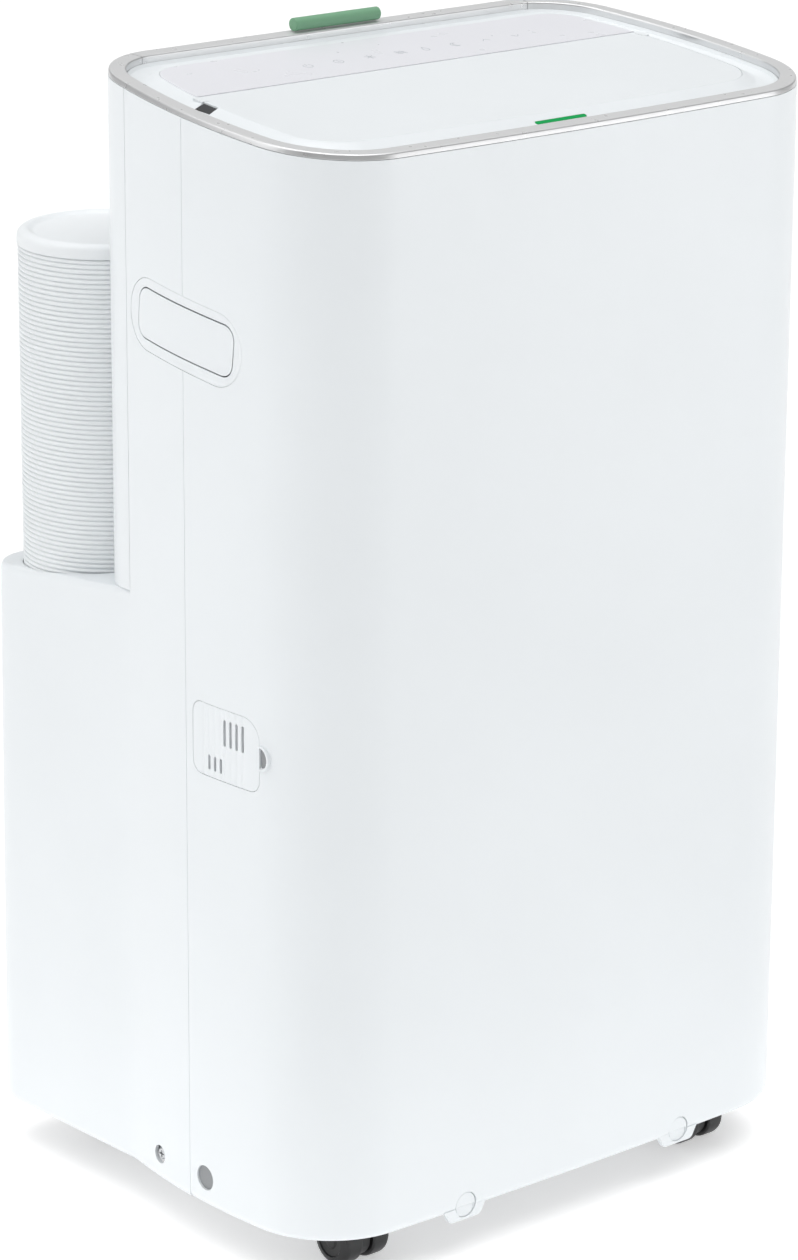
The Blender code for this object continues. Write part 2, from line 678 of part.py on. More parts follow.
# Filter cassette: frame with the rim's rear part on it, mesh and green pull -----------
FILTER_HALF, FILTER_Y0, FILTER_Y1, FILTER_LOW_Z = 0.1200, 0.0683, 0.0735, 0.485
FILTER_BORDER = 0.012


def filter_frame_bars(bm):
    add_box(bm, (-FILTER_HALF, FILTER_Y0, FILTER_LOW_Z),
            (FILTER_HALF, FILTER_Y1, top_z(FILTER_Y0) - 0.0020))


def filter_windows(bm):
    width = (2 * FILTER_HALF - 4 * FILTER_BORDER) / 3
    height = (0.800 - FILTER_LOW_Z - 5 * FILTER_BORDER) / 4
    for column in range(3):
        x = -FILTER_HALF + FILTER_BORDER + column * (width + FILTER_BORDER)
        for row in range(4):
            z = FILTER_LOW_Z + FILTER_BORDER + row * (height + FILTER_BORDER)
            add_box(bm, (x, 0.05, z), (x + width, 0.09, z + height))


REAR_RIM_PROFILE = RIM_PROFILE[:5] + [(RIM_W, below_top(0.0060)), (RIM_W - 0.0025, below_top(0.0060)),
                                      (RIM_W - 0.0025, below_top(RIM_H))]
filter_frame = solid("filter_frame", RIM, lambda bm: add_band(
    bm, lambda inset: rear_path(inset, "rim_rear"), REAR_RIM_PROFILE))
join(filter_frame, "filter_frame_bars", filter_frame_bars)
cut(filter_frame, "filter_windows", filter_windows)
solid("filter_mesh", FILTER, lambda bm: add_box(
    bm, (-FILTER_HALF + 0.003, FILTER_Y0 - 0.0020, FILTER_LOW_Z + 0.003),
    (FILTER_HALF - 0.003, FILTER_Y0 - GAP, 0.806)))

PULL_R, PULL_HALF, PULL_Y = 0.0048, 0.0400, 0.0715
PULL_Z = top_z(PULL_Y) + PULL_R + 0.0008


def pull_body(bm):
    r = PULL_R
    profile = [(r - 0.0008, -PULL_HALF), (r, -PULL_HALF + 0.0008), (r, PULL_HALF - 0.0008),
               (r - 0.0008, PULL_HALF)]
    add_turned(bm, profile, (0, PULL_Y, PULL_Z), (1, 0, 0), 24)


solid("filter_pull", GREEN, pull_body)

# Side handles: cup in the shells' cutout, and a sprung flap over it --------------------
CUP_DEPTH, CUP_FACE_X = 0.048, 0.2385
GRIP_OUTLINE = rounded_rectangle(GRIP_L, GRIP_H, 0.0100)
GRIP_HOLE = rounded_rectangle(GRIP_L + 0.0018, GRIP_H + 0.0018, 0.0108)
CUP_OUTLINE = rounded_rectangle(HANDLE_L - 0.0040, HANDLE_H - 0.0040, 0.0235)
CUP_HOLLOW = rounded_rectangle(HANDLE_L - 0.0076, HANDLE_H - 0.0076, 0.0217)
GRIP_AXIS_DROP = GRIP_H / 2 - 0.0012


def side_band(outer, inner, low, high):
    """Slab of side wall between two insets, used to give side pieces the body's curve."""
    def build(bm):
        for side in (-1, 1):
            rows = []
            for inset, z in ((outer, low), (inner, low), (inner, high), (outer, high)):
                points, marks = half_plan(inset)
                path = points[marks["seam_front"] - 3:marks["panel_rear"] + 1]
                rows.append([(side * x, y, z) for x, y in path])
            add_grid(bm, rows, True, False)
    return build


def tilted(u, v):
    """World y and z of a point on a handle, u along it and v up."""
    return (HANDLE_Y + u * math.cos(HANDLE_TILT) - v * math.sin(HANDLE_TILT),
            HANDLE_Z + u * math.sin(HANDLE_TILT) + v * math.cos(HANDLE_TILT))


def add_handle(side, label):
    centre = (HANDLE_Y, HANDLE_Z)

    def frame(bm):
        add_side_prism(bm, side, centre, HANDLE_OUTLINE, (0.225, 0.26), HANDLE_TILT)

    def cup(bm):
        add_side_prism(bm, side, centre, CUP_OUTLINE, (SIDE_X - CUP_DEPTH, CUP_FACE_X), HANDLE_TILT)

    def hollow(bm):
        add_side_prism(bm, side, centre, CUP_HOLLOW, (SIDE_X - CUP_DEPTH + 0.002, CUP_FACE_X - 0.0003),
                       HANDLE_TILT)

    def mouth(bm):
        add_side_prism(bm, side, centre, GRIP_HOLE, (0.22, 0.27), HANDLE_TILT)
    surround = solid(f"handle_cup_{label}", WHITE, frame)
    keep(surround, f"handle_skin_{label}", side_band(0.0003, 0.0070, 0.60, 0.76))
    join(surround, f"handle_pocket_{label}", cup)
    cut(surround, f"handle_hollow_{label}", hollow)
    cut(surround, f"handle_mouth_{label}", mouth)
    y, z = tilted(0.0, -GRIP_AXIS_DROP)
    axis_point = (side * (SIDE_X - 0.0058), y, z)

    def panel(bm):
        add_side_prism(bm, side, centre, GRIP_OUTLINE, (0.225, 0.26), HANDLE_TILT)
    grip = solid(f"handle_flap_{label}", WHITE, panel, axis_point)
    keep(grip, f"grip_skin_{label}", side_band(0.0014, 0.0040, 0.60, 0.76))


for handle_side, handle_label in ((-1, "left"), (1, "right")):
    add_handle(handle_side, handle_label)

# Sensor cover on the left side, with grooves, open slots and a tray behind it ----------
COVER_OUTLINE = rounded_rectangle(COVER_W, COVER_H, 0.0090)
COVER_HINGE_Y = COVER_Y + COVER_W / 2 - 0.0105
SLOT_STEP = 0.0063


def cover_prism(bm):
    add_side_prism(bm, -1, (COVER_Y, COVER_Z), COVER_OUTLINE, (0.235, 0.25))


def cover_slots(bm):
    for count, first_y, low_z, high_z in ((4, -0.1013, COVER_Z - 0.0005, COVER_Z + 0.0190),
                                          (3, -0.0845, COVER_Z - 0.0215, COVER_Z - 0.0105)):
        for k in range(count):
            y = first_y - k * SLOT_STEP
            add_box(bm, (-0.26, y - 0.0013, low_z), (-0.23, y + 0.0013, high_z))


cover = solid("sensor_cover", WHITE, cover_prism, (-0.2425, COVER_HINGE_Y, COVER_Z))
keep(cover, "cover_skin", side_band(0.0004, 0.0026, 0.34, 0.44))
cut(cover, "cover_slots", cover_slots)


def tray_block(bm):
    add_box(bm, (-0.2385, COVER_Y - 0.038, COVER_Z - 0.0285),
            (-0.2210, COVER_Y + 0.038, COVER_Z + 0.0285))


def tray_hollow(bm):
    add_box(bm, (-0.2500, COVER_Y - 0.036, COVER_Z - 0.0265),
            (-0.2230, COVER_Y + 0.036, COVER_Z + 0.0265))


tray = solid("sensor_tray", DARK, tray_block)
cut(tray, "tray_hollow", tray_hollow)

# Fasteners that show -------------------------------------------------------------------
def cross_recess(centre, direction, size, depth):
    """Cross-shaped pocket cut along X."""
    arm = size * 0.22
    outline = [(size, -arm), (size, arm), (arm, arm), (arm, size), (-arm, size), (-arm, arm),
               (-size, arm), (-size, -arm), (-arm, -arm), (-arm, -size), (arm, -size), (arm, -arm)]

    def build(bm):
        x, y, z = centre
        add_loft(bm, [[(x + dx, y + u, z + v) for u, v in outline]
                      for dx in (0, direction * depth)])
    return build


def add_rear_screw(side, label):
    head_x = side * 0.2390

    def body(bm):
        add_turned(bm, [(0.0020, -0.012), (0.0020, -0.0018), (0.0045, -0.0018), (0.0045, -0.0006),
                        (0.0036, 0.0)], (head_x, REAR_SCREW_Y, REAR_SCREW_Z), (side, 0, 0), 16)
    screw = solid(f"side_screw_{label}", SCREW, body)
    cut(screw, f"screw_cross_{label}", cross_recess(
        (head_x + side * 0.001, REAR_SCREW_Y, REAR_SCREW_Z), -side, 0.0026, 0.0024))


for screw_side, screw_label in ((-1, "left"), (1, "right")):
    add_rear_screw(screw_side, screw_label)


def add_catch(side, label):
    """Quarter-turn catch: a slotted disc in the front shell's lower edge."""
    centre = (side * CATCH_X, FRONT_Y + 0.0016, CATCH_Z)

    def disc(bm):
        add_turned(bm, [(CATCH_R - 0.0008, 0.0), (CATCH_R, 0.0008), (CATCH_R, 0.0080)],
                   centre, (0, 1, 0), 20)

    def slot(bm):
        add_box(bm, (centre[0] - CATCH_R, centre[1] - 0.001, CATCH_Z - 0.0010),
                (centre[0] + CATCH_R, centre[1] + 0.0018, CATCH_Z + 0.0010))
    catch = solid(f"front_catch_{label}", WHITE, disc, centre)
    cut(catch, f"catch_slot_{label}", slot)


for catch_side, catch_label in ((-1, "left"), (1, "right")):
    add_catch(catch_side, catch_label)

# Base pan and casters ------------------------------------------------------------------
def base_pan_body(bm):
    plan = closed_plan(WALL + 0.0012, True)
    add_prism(bm, plan, level(PAN_Z), level(PAN_Z + 0.020))


def base_pan_hollow(bm):
    plan = closed_plan(WALL + 0.0012 + 0.0025, True)
    add_prism(bm, plan, level(PAN_Z + PAN_T), level(PAN_Z + 0.05))


pan = solid("base_pan", GREY, base_pan_body)
cut(pan, "base_pan_hollow", base_pan_hollow)
CASTER_STEM_R = 0.0055


def stem_holes(bm):
    for x, y in CASTERS.values():
        add_turned(bm, [(CASTER_STEM_R + 2 * GAP, 0), (CASTER_STEM_R + 2 * GAP, 0.02)],
                   (x, y, PAN_Z - 0.008), steps=12)


cut(pan, "stem_holes", stem_holes)


def pan_screw_holes(bm):
    for side in (-1, 1):
        add_turned(bm, [(0.0024, 0), (0.0024, 0.03)], (side * 0.215, REAR_SCREW_Y, REAR_SCREW_Z),
                   (side, 0, 0), 12)


cut(pan, "pan_screw_holes", pan_screw_holes)


def add_caster(x, y, label):
    axle_y = y - CASTER_TRAIL
    hood_r = WHEEL_R + 0.0030
    hood_half = WHEEL_TRACK / 2 + WHEEL_W / 2 + 0.0015
    half_web = (WHEEL_TRACK - WHEEL_W) / 2 - 0.0015

    def hood(bm):
        outer = [(hood_r * math.cos(a), hood_r * math.sin(a))
                 for a in (math.radians(15 + 150 * k / 6) for k in range(7))]
        inner_r = WHEEL_R + 0.0010
        inner = [(inner_r * math.cos(a), inner_r * math.sin(a))
                 for a in (math.radians(165 - 150 * k / 6) for k in range(7))]
        outline = outer + inner
        add_loft(bm, [[(x + dx, axle_y + u, WHEEL_R + v) for u, v in outline]
                      for dx in (-hood_half, hood_half)])

    def web(bm):
        outline = circle(WHEEL_R - 0.003, 12)
        add_loft(bm, [[(x + dx, axle_y + u, WHEEL_R + v) for u, v in outline]
                      for dx in (-half_web, half_web)])

    def stem(bm):
        add_turned(bm, [(CASTER_STEM_R, 0), (CASTER_STEM_R, 0.0195)], (x, y, WHEEL_R + 0.0175), steps=10)

    def collar(bm):
        add_turned(bm, [(0.0110, 0), (0.0110, 0.0080)], (x, y, PAN_Z - GAP - 0.0080), steps=14)

    def rib(bm):
        add_box(bm, (x - half_web - 0.0003, axle_y - 0.0100, WHEEL_R + 0.0080),
                (x + half_web + 0.0003, y + 0.0060, PAN_Z - 0.0040))

    def axle_hole(bm):
        add_turned(bm, [(0.0026, -0.05), (0.0026, 0.05)], (x, axle_y, WHEEL_R), (1, 0, 0), 8)
    fork = solid(f"caster_fork_{label}", BLACK, hood, (x, y, PAN_Z))
    for piece in (rib, web, stem, collar):
        join(fork, f"caster_{piece.__name__}_{label}", piece)
    cut(fork, f"axle_hole_{label}", axle_hole)

    def wheels(bm):
        edge, inner = WHEEL_TRACK / 2 + WHEEL_W / 2, WHEEL_TRACK / 2 - WHEEL_W / 2
        half = [(0.0022, inner), (WHEEL_R - 0.001, inner), (WHEEL_R, inner + 0.002),
                (WHEEL_R, edge - 0.004), (WHEEL_R - 0.004, edge)]
        profile = [(r, -reach) for r, reach in reversed(half)] + half
        add_turned(bm, profile, (x, axle_y, WHEEL_R), (1, 0, 0), 16)
    solid(f"caster_wheels_{label}", BLACK, wheels, (x, axle_y, WHEEL_R))


for caster_label, (caster_x, caster_y) in CASTERS.items():
    add_caster(caster_x, caster_y, caster_label)

# Exhaust hose: bellows, end cap, collar under the ledge --------------------------------
HOSE_LOW_Z = 0.4440
CAP_H = 0.0110
COLLAR_OUT_R, COLLAR_IN_R, COLLAR_H = HOSE_R + 0.0004, HOSE_R - 0.0060, 0.0060


def hose_body(bm):
    low, high = HOSE_LOW_Z + GAP, HOSE_TOP_Z - CAP_H - GAP
    add_turned_ring(bm, [(HOSE_R, low), (HOSE_R, high), (HOSE_R - 0.004, high), (HOSE_R - 0.004, low)],
                    (HOSE_X, HOSE_Y, 0), steps=32)


solid("exhaust_hose", HOSE, hose_body)


def hose_cap(bm):
    low, high = HOSE_TOP_Z - CAP_H, HOSE_TOP_Z
    add_turned(bm, [(HOSE_R + 0.0005, low), (HOSE_R + 0.0005, high - 0.0030), (HOSE_R - 0.0020, high),
                    (HOSE_R - 0.0060, high), (HOSE_R - 0.0080, high - 0.0020)],
               (HOSE_X, HOSE_Y, 0), steps=32)


solid("hose_end_cap", HOSE, hose_cap, (HOSE_X, HOSE_Y, HOSE_TOP_Z - CAP_H))


def collar_body(bm):
    low, high = HOSE_LOW_Z - COLLAR_H, HOSE_LOW_Z
    add_turned_ring(bm, [(COLLAR_OUT_R, low), (COLLAR_OUT_R, high), (COLLAR_IN_R, high),
                         (COLLAR_IN_R, low)], (HOSE_X, HOSE_Y, 0), steps=32)


solid("hose_collar", GREY, collar_body)

# Rear fittings -------------------------------------------------------------------------
def grille_body(bm):
    add_box(bm, (GRILLE_X - GRILLE_W / 2 + SEAM, 0.1960, GRILLE_Z - GRILLE_H / 2 + SEAM),
            (GRILLE_X + GRILLE_W / 2 - SEAM, 0.1998, GRILLE_Z + GRILLE_H / 2 - SEAM))


GRILLE_ROWS, GRILLE_PITCH, GRILLE_SLOT_H = 10, 0.0280, 0.0160


def grille_slots(bm):
    for row in range(GRILLE_ROWS):
        z = GRILLE_Z - (GRILLE_ROWS - 1) / 2 * GRILLE_PITCH + row * GRILLE_PITCH
        for x in (GRILLE_X - 0.068, GRILLE_X + 0.068):
            add_box(bm, (x - 0.062, 0.18, z - GRILLE_SLOT_H / 2), (x + 0.062, 0.22, z + GRILLE_SLOT_H / 2))


grille = solid("condenser_grille", WHITE, grille_body)
cut(grille, "grille_slots", grille_slots)


def drain_plug_body(bm):
    add_turned(bm, [(0.0075, -0.0170), (DRAIN_R - GAP, -0.0150), (DRAIN_R - GAP, -0.0008),
                    (DRAIN_R - 0.0012, 0.0)], (DRAIN_X, DRAIN_PLUG_Y, DRAIN_Z), (0, 1, 0), 16)


solid("drain_plug", RUBBER, drain_plug_body, (DRAIN_X, DRAIN_PLUG_Y, DRAIN_Z))


def gland_body(bm):
    add_turned_ring(bm, [(GLAND_R - GAP, 0.1880), (GLAND_R - GAP, 0.1990), (GLAND_R - 0.0012, 0.2005),
                         (0.0048, 0.2005), (0.0042, 0.1990), (0.0042, 0.1880)],
                    (GLAND_X, 0, GLAND_Z), (0, 1, 0), 20)


solid("power_cord_gland", DARK, gland_body)

# Refrigeration circuit -----------------------------------------------------------------
PAN_TOP = PAN_Z + PAN_T
MOUNT_H, MOUNT_RING = 0.0140, 0.062
COMPRESSOR_Z = PAN_TOP + GAP + MOUNT_H + GAP


def mount_points():
    for k in range(3):
        angle = math.radians(90 + 120 * k)
        yield (COMPRESSOR_X + MOUNT_RING * math.cos(angle), COMPRESSOR_Y + MOUNT_RING * math.sin(angle))


for mount_index, (mount_x, mount_y) in enumerate(mount_points()):
    solid(f"compressor_mount_{mount_index + 1}", RUBBER, lambda bm, x=mount_x, y=mount_y: add_turned(
        bm, [(0.0110, 0), (0.0110, 0.004), (0.0080, 0.006), (0.0110, 0.010), (0.0110, MOUNT_H)],
        (x, y, PAN_TOP + GAP), steps=14), (mount_x, mount_y, PAN_TOP + GAP))


def compressor_can(bm):
    z = COMPRESSOR_Z
    add_turned(bm, [(0.040, z + 0.001), (0.056, z + 0.006), (0.0585, z + 0.014), (0.0585, z + 0.190),
                    (0.052, z + 0.205), (0.030, z + 0.216), (0.012, z + 0.220)],
               (COMPRESSOR_X, COMPRESSOR_Y, 0), steps=24)


def compressor_foot(bm):
    points = list(mount_points())
    plan = []
    for x, y in points:
        heading = math.atan2(y - COMPRESSOR_Y, x - COMPRESSOR_X)
        plan += [(x + 0.014 * math.cos(heading + a), y + 0.014 * math.sin(heading + a))
                 for a in (-1.05, -0.5, 0.0, 0.5, 1.05)]
    add_prism(bm, plan, level(COMPRESSOR_Z), level(COMPRESSOR_Z + 0.003))


def compressor_terminal(bm):
    add_box(bm, (COMPRESSOR_X - 0.020, COMPRESSOR_Y - 0.068, COMPRESSOR_Z + 0.120),
            (COMPRESSOR_X + 0.020, COMPRESSOR_Y - 0.040, COMPRESSOR_Z + 0.165))


compressor = solid("compressor", BLACK, compressor_can)
join(compressor, "compressor_foot", compressor_foot)
join(compressor, "compressor_terminal", compressor_terminal)

ACCUMULATOR_X, ACCUMULATOR_Y = -0.194, -0.100


def accumulator_body(bm):
    add_turned(bm, [(0.006, 0.096), (0.006, 0.108), (0.020, 0.114), (0.0245, 0.124), (0.0245, 0.236),
                    (0.020, 0.246), (0.006, 0.252), (0.006, 0.262)],
               (ACCUMULATOR_X, ACCUMULATOR_Y, 0), steps=20)


solid("accumulator", BLACK, accumulator_body)


def add_pipe(name, points, radius=0.0042):
    """Copper pipe along a smooth curve through the given points."""
    curve = bpy.data.curves.new(name, "CURVE")
    curve.dimensions = "3D"
    curve.bevel_depth = radius
    curve.bevel_resolution = 2
    curve.use_fill_caps = True
    spline = curve.splines.new("POLY")
    dense = smooth_route([Vector(p) for p in points], 2)
    spline.points.add(len(dense) - 1)
    for point, place in zip(spline.points, dense):
        point.co = (*place, 1.0)
    curve.materials.append(COPPER)
    obj = bpy.data.objects.new(name, curve)
    bpy.context.collection.objects.link(obj)


def smooth_route(points, steps):
    """Catmull-Rom curve through the points."""
    ends = [points[0] * 2 - points[1]] + points + [points[-1] * 2 - points[-2]]
    route = []
    for a, b, c, d in zip(ends, ends[1:], ends[2:], ends[3:]):
        for k in range(steps):
            t = k / steps
            route.append(0.5 * (2 * b + (c - a) * t + (2 * a - 5 * b + 4 * c - d) * t * t
                                + (3 * b - a - 3 * c + d) * t ** 3))
    return route + [points[-1]]


EVAPORATOR = ((-0.172, 0.0270, 0.470), (0.172, 0.0580, 0.784))
CONDENSER = ((-0.062, 0.1560, 0.078), (0.205, 0.1880, 0.402))


def coil_grooves(low, high, count, depth):
    """Upright grooves on both faces of a fin pack."""
    def build(bm):
        pitch = (high[0] - low[0]) / count
        for k in range(1, count):
            x = low[0] + k * pitch
            for y0, y1 in ((low[1] - 0.001, low[1] + depth), (high[1] - depth, high[1] + 0.001)):
                add_box(bm, (x - pitch * 0.18, y0, low[2] - 0.001), (x + pitch * 0.18, y1, high[2] + 0.001))
    return build


evaporator = solid("evaporator_coil", ALLOY, lambda bm: add_box(bm, *EVAPORATOR))
cut(evaporator, "evaporator_grooves", coil_grooves(*EVAPORATOR, 10, 0.003))
condenser = solid("condenser_coil", ALLOY, lambda bm: add_box(bm, *CONDENSER))
cut(condenser, "condenser_grooves", coil_grooves(*CONDENSER, 9, 0.003))

add_pipe("discharge_pipe", [(COMPRESSOR_X, COMPRESSOR_Y, COMPRESSOR_Z + 0.2215),
                            (COMPRESSOR_X, COMPRESSOR_Y, 0.318), (-0.080, -0.070, 0.352),
                            (-0.020, -0.030, 0.388), (0.030, 0.040, 0.400), (0.058, 0.120, 0.412),
                            (0.062, 0.156, 0.418), (0.063, 0.171, 0.412), (0.063, 0.172, 0.4035)])
add_pipe("suction_pipe", [(ACCUMULATOR_X, ACCUMULATOR_Y, 0.2635), (-0.194, -0.098, 0.300),
                          (-0.203, -0.070, 0.345), (-0.206, -0.020, 0.385), (-0.206, 0.010, 0.420),
                          (-0.206, 0.030, 0.460), (-0.204, 0.042, 0.520), (-0.200, 0.043, 0.600),
                          (-0.188, 0.043, 0.640), (-0.1735, 0.043, 0.645)])

# Air movers ----------------------------------------------------------------------------
def spiral(centre, small_r, large_r, start, turn, steps):
    """Points of a scroll whose radius grows evenly along its turn."""
    points = []
    for k in range(steps + 1):
        t = k / steps
        radius = small_r + (large_r - small_r) * t
        angle = math.radians(start + turn * t)
        points.append((centre[0] + radius * math.cos(angle), centre[1] + radius * math.sin(angle)))
    return points


def scroll_outline(centre, small_r, large_r, neck_x, neck_z, shrink):
    """Scroll section in X and Z: the spiral runs clockwise and leaves upward at +X."""
    curve = spiral(centre, small_r - shrink, large_r - shrink, 80, 280, 20)
    x0, x1 = neck_x
    return curve + [(x1 - shrink, neck_z), (x0 + shrink, neck_z)]


def add_scroll(name, material, centre, radii, neck, depth, inlet_r, motor_r):
    """Housing that is open at its neck, at its inlet and where the motor shaft passes."""
    y0, y1 = depth
    wall = 0.0022

    def ring(outline, y):
        return [(x, y, z) for x, z in outline]

    def outer(bm):
        outline = scroll_outline(centre, *radii, neck[0], neck[1], 0.0)
        add_loft(bm, [ring(outline, y0), ring(outline, y1)])

    def hollow(bm):
        outline = scroll_outline(centre, *radii, neck[0], neck[1] + 0.002, wall)
        add_loft(bm, [ring(outline, y0 + wall), ring(outline, y1 - wall)])

    def inlet(bm):
        add_turned(bm, [(inlet_r, 0), (inlet_r, 0.02)], (centre[0], y1 - 0.01, centre[1]), (0, 1, 0), 28)

    def shaft(bm):
        add_turned(bm, [(motor_r, 0), (motor_r, 0.02)], (centre[0], y0 - 0.01, centre[1]), (0, 1, 0), 16)
    housing = solid(name, material, outer)
    cut(housing, f"{name}_hollow", hollow)
    cut(housing, f"{name}_inlet", inlet)
    cut(housing, f"{name}_shaft_hole", shaft)


BLOWER_CENTRE = (BLOWER_X, BLOWER_Z)
add_scroll("blower_scroll", GREY, BLOWER_CENTRE, (0.112, 0.160), ((NECK_X0, NECK_X1), NECK_Z),
           (SCROLL_Y0, SCROLL_Y1), 0.082, 0.012)


def add_wheel(name, material, centre, radius, y_plate, y_end, blades, shaft_y):
    """Squirrel-cage wheel: back plate, blades, end ring and shaft in one moulding."""
    x, z = centre
    ring_w, blade_t = 0.012, 0.0026
    step = 1 if y_end > y_plate else -1

    def plate(bm):
        add_turned(bm, [(radius, 0), (radius, 0.0025)], (x, y_plate, z), (0, step, 0), 20)

    def hub(bm):
        add_turned(bm, [(0.0050, 0), (0.0050, abs(shaft_y - y_plate) + 0.012)],
                   (x, shaft_y, z), (0, step, 0), 14)

    def blade(k):
        angle = 2 * math.pi * k / blades

        def build(bm):
            outline = []
            for r, side in ((radius - ring_w, -1), (radius - 0.001, -1), (radius - 0.001, 1),
                            (radius - ring_w, 1)):
                lean = 0.10 * (r - radius) / ring_w
                a = angle + lean + side * blade_t / 2 / r
                outline.append((x + r * math.cos(a), z + r * math.sin(a)))
            add_loft(bm, [[(px, y, pz) for px, pz in outline]
                          for y in (y_plate + step * 0.001, y_end - step * 0.001)])
        return build

    def end_ring(bm):
        add_turned_ring(bm, [(radius, 0), (radius, 0.0025), (radius - ring_w, 0.0025),
                             (radius - ring_w, 0)], (x, y_end - step * 0.0025, z), (0, step, 0), 20)

    def all_blades(bm):
        for k in range(blades):
            blade(k)(bm)
    wheel = solid(name, material, plate, (x, y_plate, z))
    join(wheel, f"{name}_shaft", hub)
    join(wheel, f"{name}_blades", all_blades)
    join(wheel, f"{name}_end_ring", end_ring)


add_wheel("blower_wheel", GREY, BLOWER_CENTRE, BLOWER_R, SCROLL_Y0 + 0.012, SCROLL_Y1 - 0.008, 12,
          SCROLL_Y0 - 0.004)


def add_motor(name, centre, radius, y0, y1):
    """Can motor with a ribbed rim; its face is towards +Y."""
    x, z = centre

    def can(bm):
        add_turned(bm, [(radius * 0.6, 0), (radius, 0.004), (radius, 0.012), (radius * 0.94, 0.014),
                        (radius * 0.94, y1 - y0 - 0.008), (radius * 0.60, y1 - y0)],
                   (x, y0, z), (0, 1, 0), 20)
    motor = solid(name, STEEL, can)

    def bore(bm):
        add_turned(bm, [(0.0058, 0), (0.0058, 0.030)], (x, y1 - 0.010, z), (0, 1, 0), 14)
    cut(motor, f"{name}_bore", bore)


add_motor("blower_motor", BLOWER_CENTRE, 0.052, -0.168, SCROLL_Y0 - 0.0008)

FAN_CENTRE = (FAN_X, FAN_Z)
FAN_Y0, FAN_Y1 = 0.030, 0.128
FAN_NECK_X, FAN_NECK_Z = (-0.098, -0.010), 0.372


def mirrored_scroll(outline, centre_x):
    return [(2 * centre_x - x, z) for x, z in reversed(outline)]


def fan_scroll_outline(shrink, extra=0.0):
    low_x, high_x = 2 * FAN_X - FAN_NECK_X[1], 2 * FAN_X - FAN_NECK_X[0]
    outline = scroll_outline(FAN_CENTRE, 0.104, 0.140, (low_x, high_x), FAN_NECK_Z + extra, shrink)
    return mirrored_scroll(outline, FAN_X)


def fan_scroll_outer(bm):
    add_loft(bm, [[(x, y, z) for x, z in fan_scroll_outline(0.0)] for y in (FAN_Y0, FAN_Y1)])


def fan_scroll_hollow(bm):
    add_loft(bm, [[(x, y, z) for x, z in fan_scroll_outline(0.0022, 0.002)]
                  for y in (FAN_Y0 + 0.0022, FAN_Y1 - 0.0022)])


def fan_inlet(bm):
    add_turned(bm, [(0.078, 0), (0.078, 0.02)], (FAN_X, FAN_Y1 - 0.01, FAN_Z), (0, 1, 0), 28)


def fan_shaft_hole(bm):
    add_turned(bm, [(0.012, 0), (0.012, 0.02)], (FAN_X, FAN_Y0 - 0.01, FAN_Z), (0, 1, 0), 16)


fan_scroll = solid("condenser_fan_scroll", GREY, fan_scroll_outer)
cut(fan_scroll, "fan_scroll_hollow", fan_scroll_hollow)
cut(fan_scroll, "fan_scroll_inlet", fan_inlet)
cut(fan_scroll, "fan_scroll_shaft_hole", fan_shaft_hole)
add_wheel("condenser_fan_wheel", GREY, FAN_CENTRE, FAN_R, FAN_Y0 + 0.010, FAN_Y1 - 0.008, 10,
          FAN_Y0 - 0.004)
add_motor("condenser_fan_motor", FAN_CENTRE, 0.046, -0.025, FAN_Y0 - 0.0008)


def exhaust_solid(shrink, extra):
    """Duct from the fan scroll's neck to the round collar under the ledge."""
    def build(bm):
        x0, x1 = FAN_NECK_X
        steps = 24
        low_ring, high_ring = [], []
        mid = ((x0 + x1) / 2, (FAN_Y0 + FAN_Y1) / 2)
        half = ((x1 - x0) / 2 - shrink, (FAN_Y1 - FAN_Y0) / 2 - shrink)
        for ux, uy in circle(1.0, steps, math.pi / steps):
            reach = min(half[0] / abs(ux), half[1] / abs(uy))
            low_ring.append((mid[0] + ux * reach, mid[1] + uy * reach))
            radius = COLLAR_IN_R - 0.0005 - shrink
            high_ring.append((HOSE_X + ux * radius, HOSE_Y + uy * radius))
        add_loft(bm, [ring_at(low_ring, level(FAN_NECK_Z + GAP - extra)),
                      ring_at(low_ring, level(FAN_NECK_Z + 0.004)),
                      ring_at(high_ring, level(HOSE_LOW_Z - COLLAR_H - 0.004)),
                      ring_at(high_ring, level(HOSE_LOW_Z - COLLAR_H - GAP + extra))])
    return build


exhaust = solid("exhaust_duct", GREY, exhaust_solid(0.0, 0.0))
cut(exhaust, "exhaust_hollow", exhaust_solid(0.0022, 0.002))

# Partition and electrics --------------------------------------------------------
PARTITION_Z0, PARTITION_Z1 = 0.4300, 0.4440


def partition_body(bm):
    plan = clip_plan(closed_plan(WALL + 0.0042), -1, 0.0600)
    add_prism(bm, plan, level(PARTITION_Z0), level(PARTITION_Z1))


def partition_hollow(bm):
    plan = clip_plan(closed_plan(WALL + 0.0068), -1, 0.0575)
    add_prism(bm, plan, level(PARTITION_Z0 + 0.0026), level(PARTITION_Z1 + 0.01))


def pipe_notch(bm):
    add_box(bm, (-0.221, 0.000, 0.42), (-0.189, 0.07, 0.46))


def hose_notch(bm):
    add_box(bm, (HOSE_X - 0.075, 0.045, 0.42), (HOSE_X + 0.075, 0.07, 0.46))


partition = solid("drain_partition", GREY, partition_body)
cut(partition, "partition_hollow", partition_hollow)
cut(partition, "pipe_notch", pipe_notch)
cut(partition, "hose_notch", hose_notch)


def control_box_body(bm):
    add_box(bm, (0.040, -0.185, 0.130), (0.200, -0.125, 0.400))


def control_box_hollow(bm):
    add_box(bm, (0.0425, -0.200, 0.1325), (0.1975, -0.1275, 0.3975))


control_box = solid("control_box", DARK, control_box_body)
cut(control_box, "control_box_hollow", control_box_hollow)
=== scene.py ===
"""Looks of the portable air conditioner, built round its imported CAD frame. Metres, +Z up."""

import json
import math

import bmesh
import bpy
from mathutils import Matrix, Vector

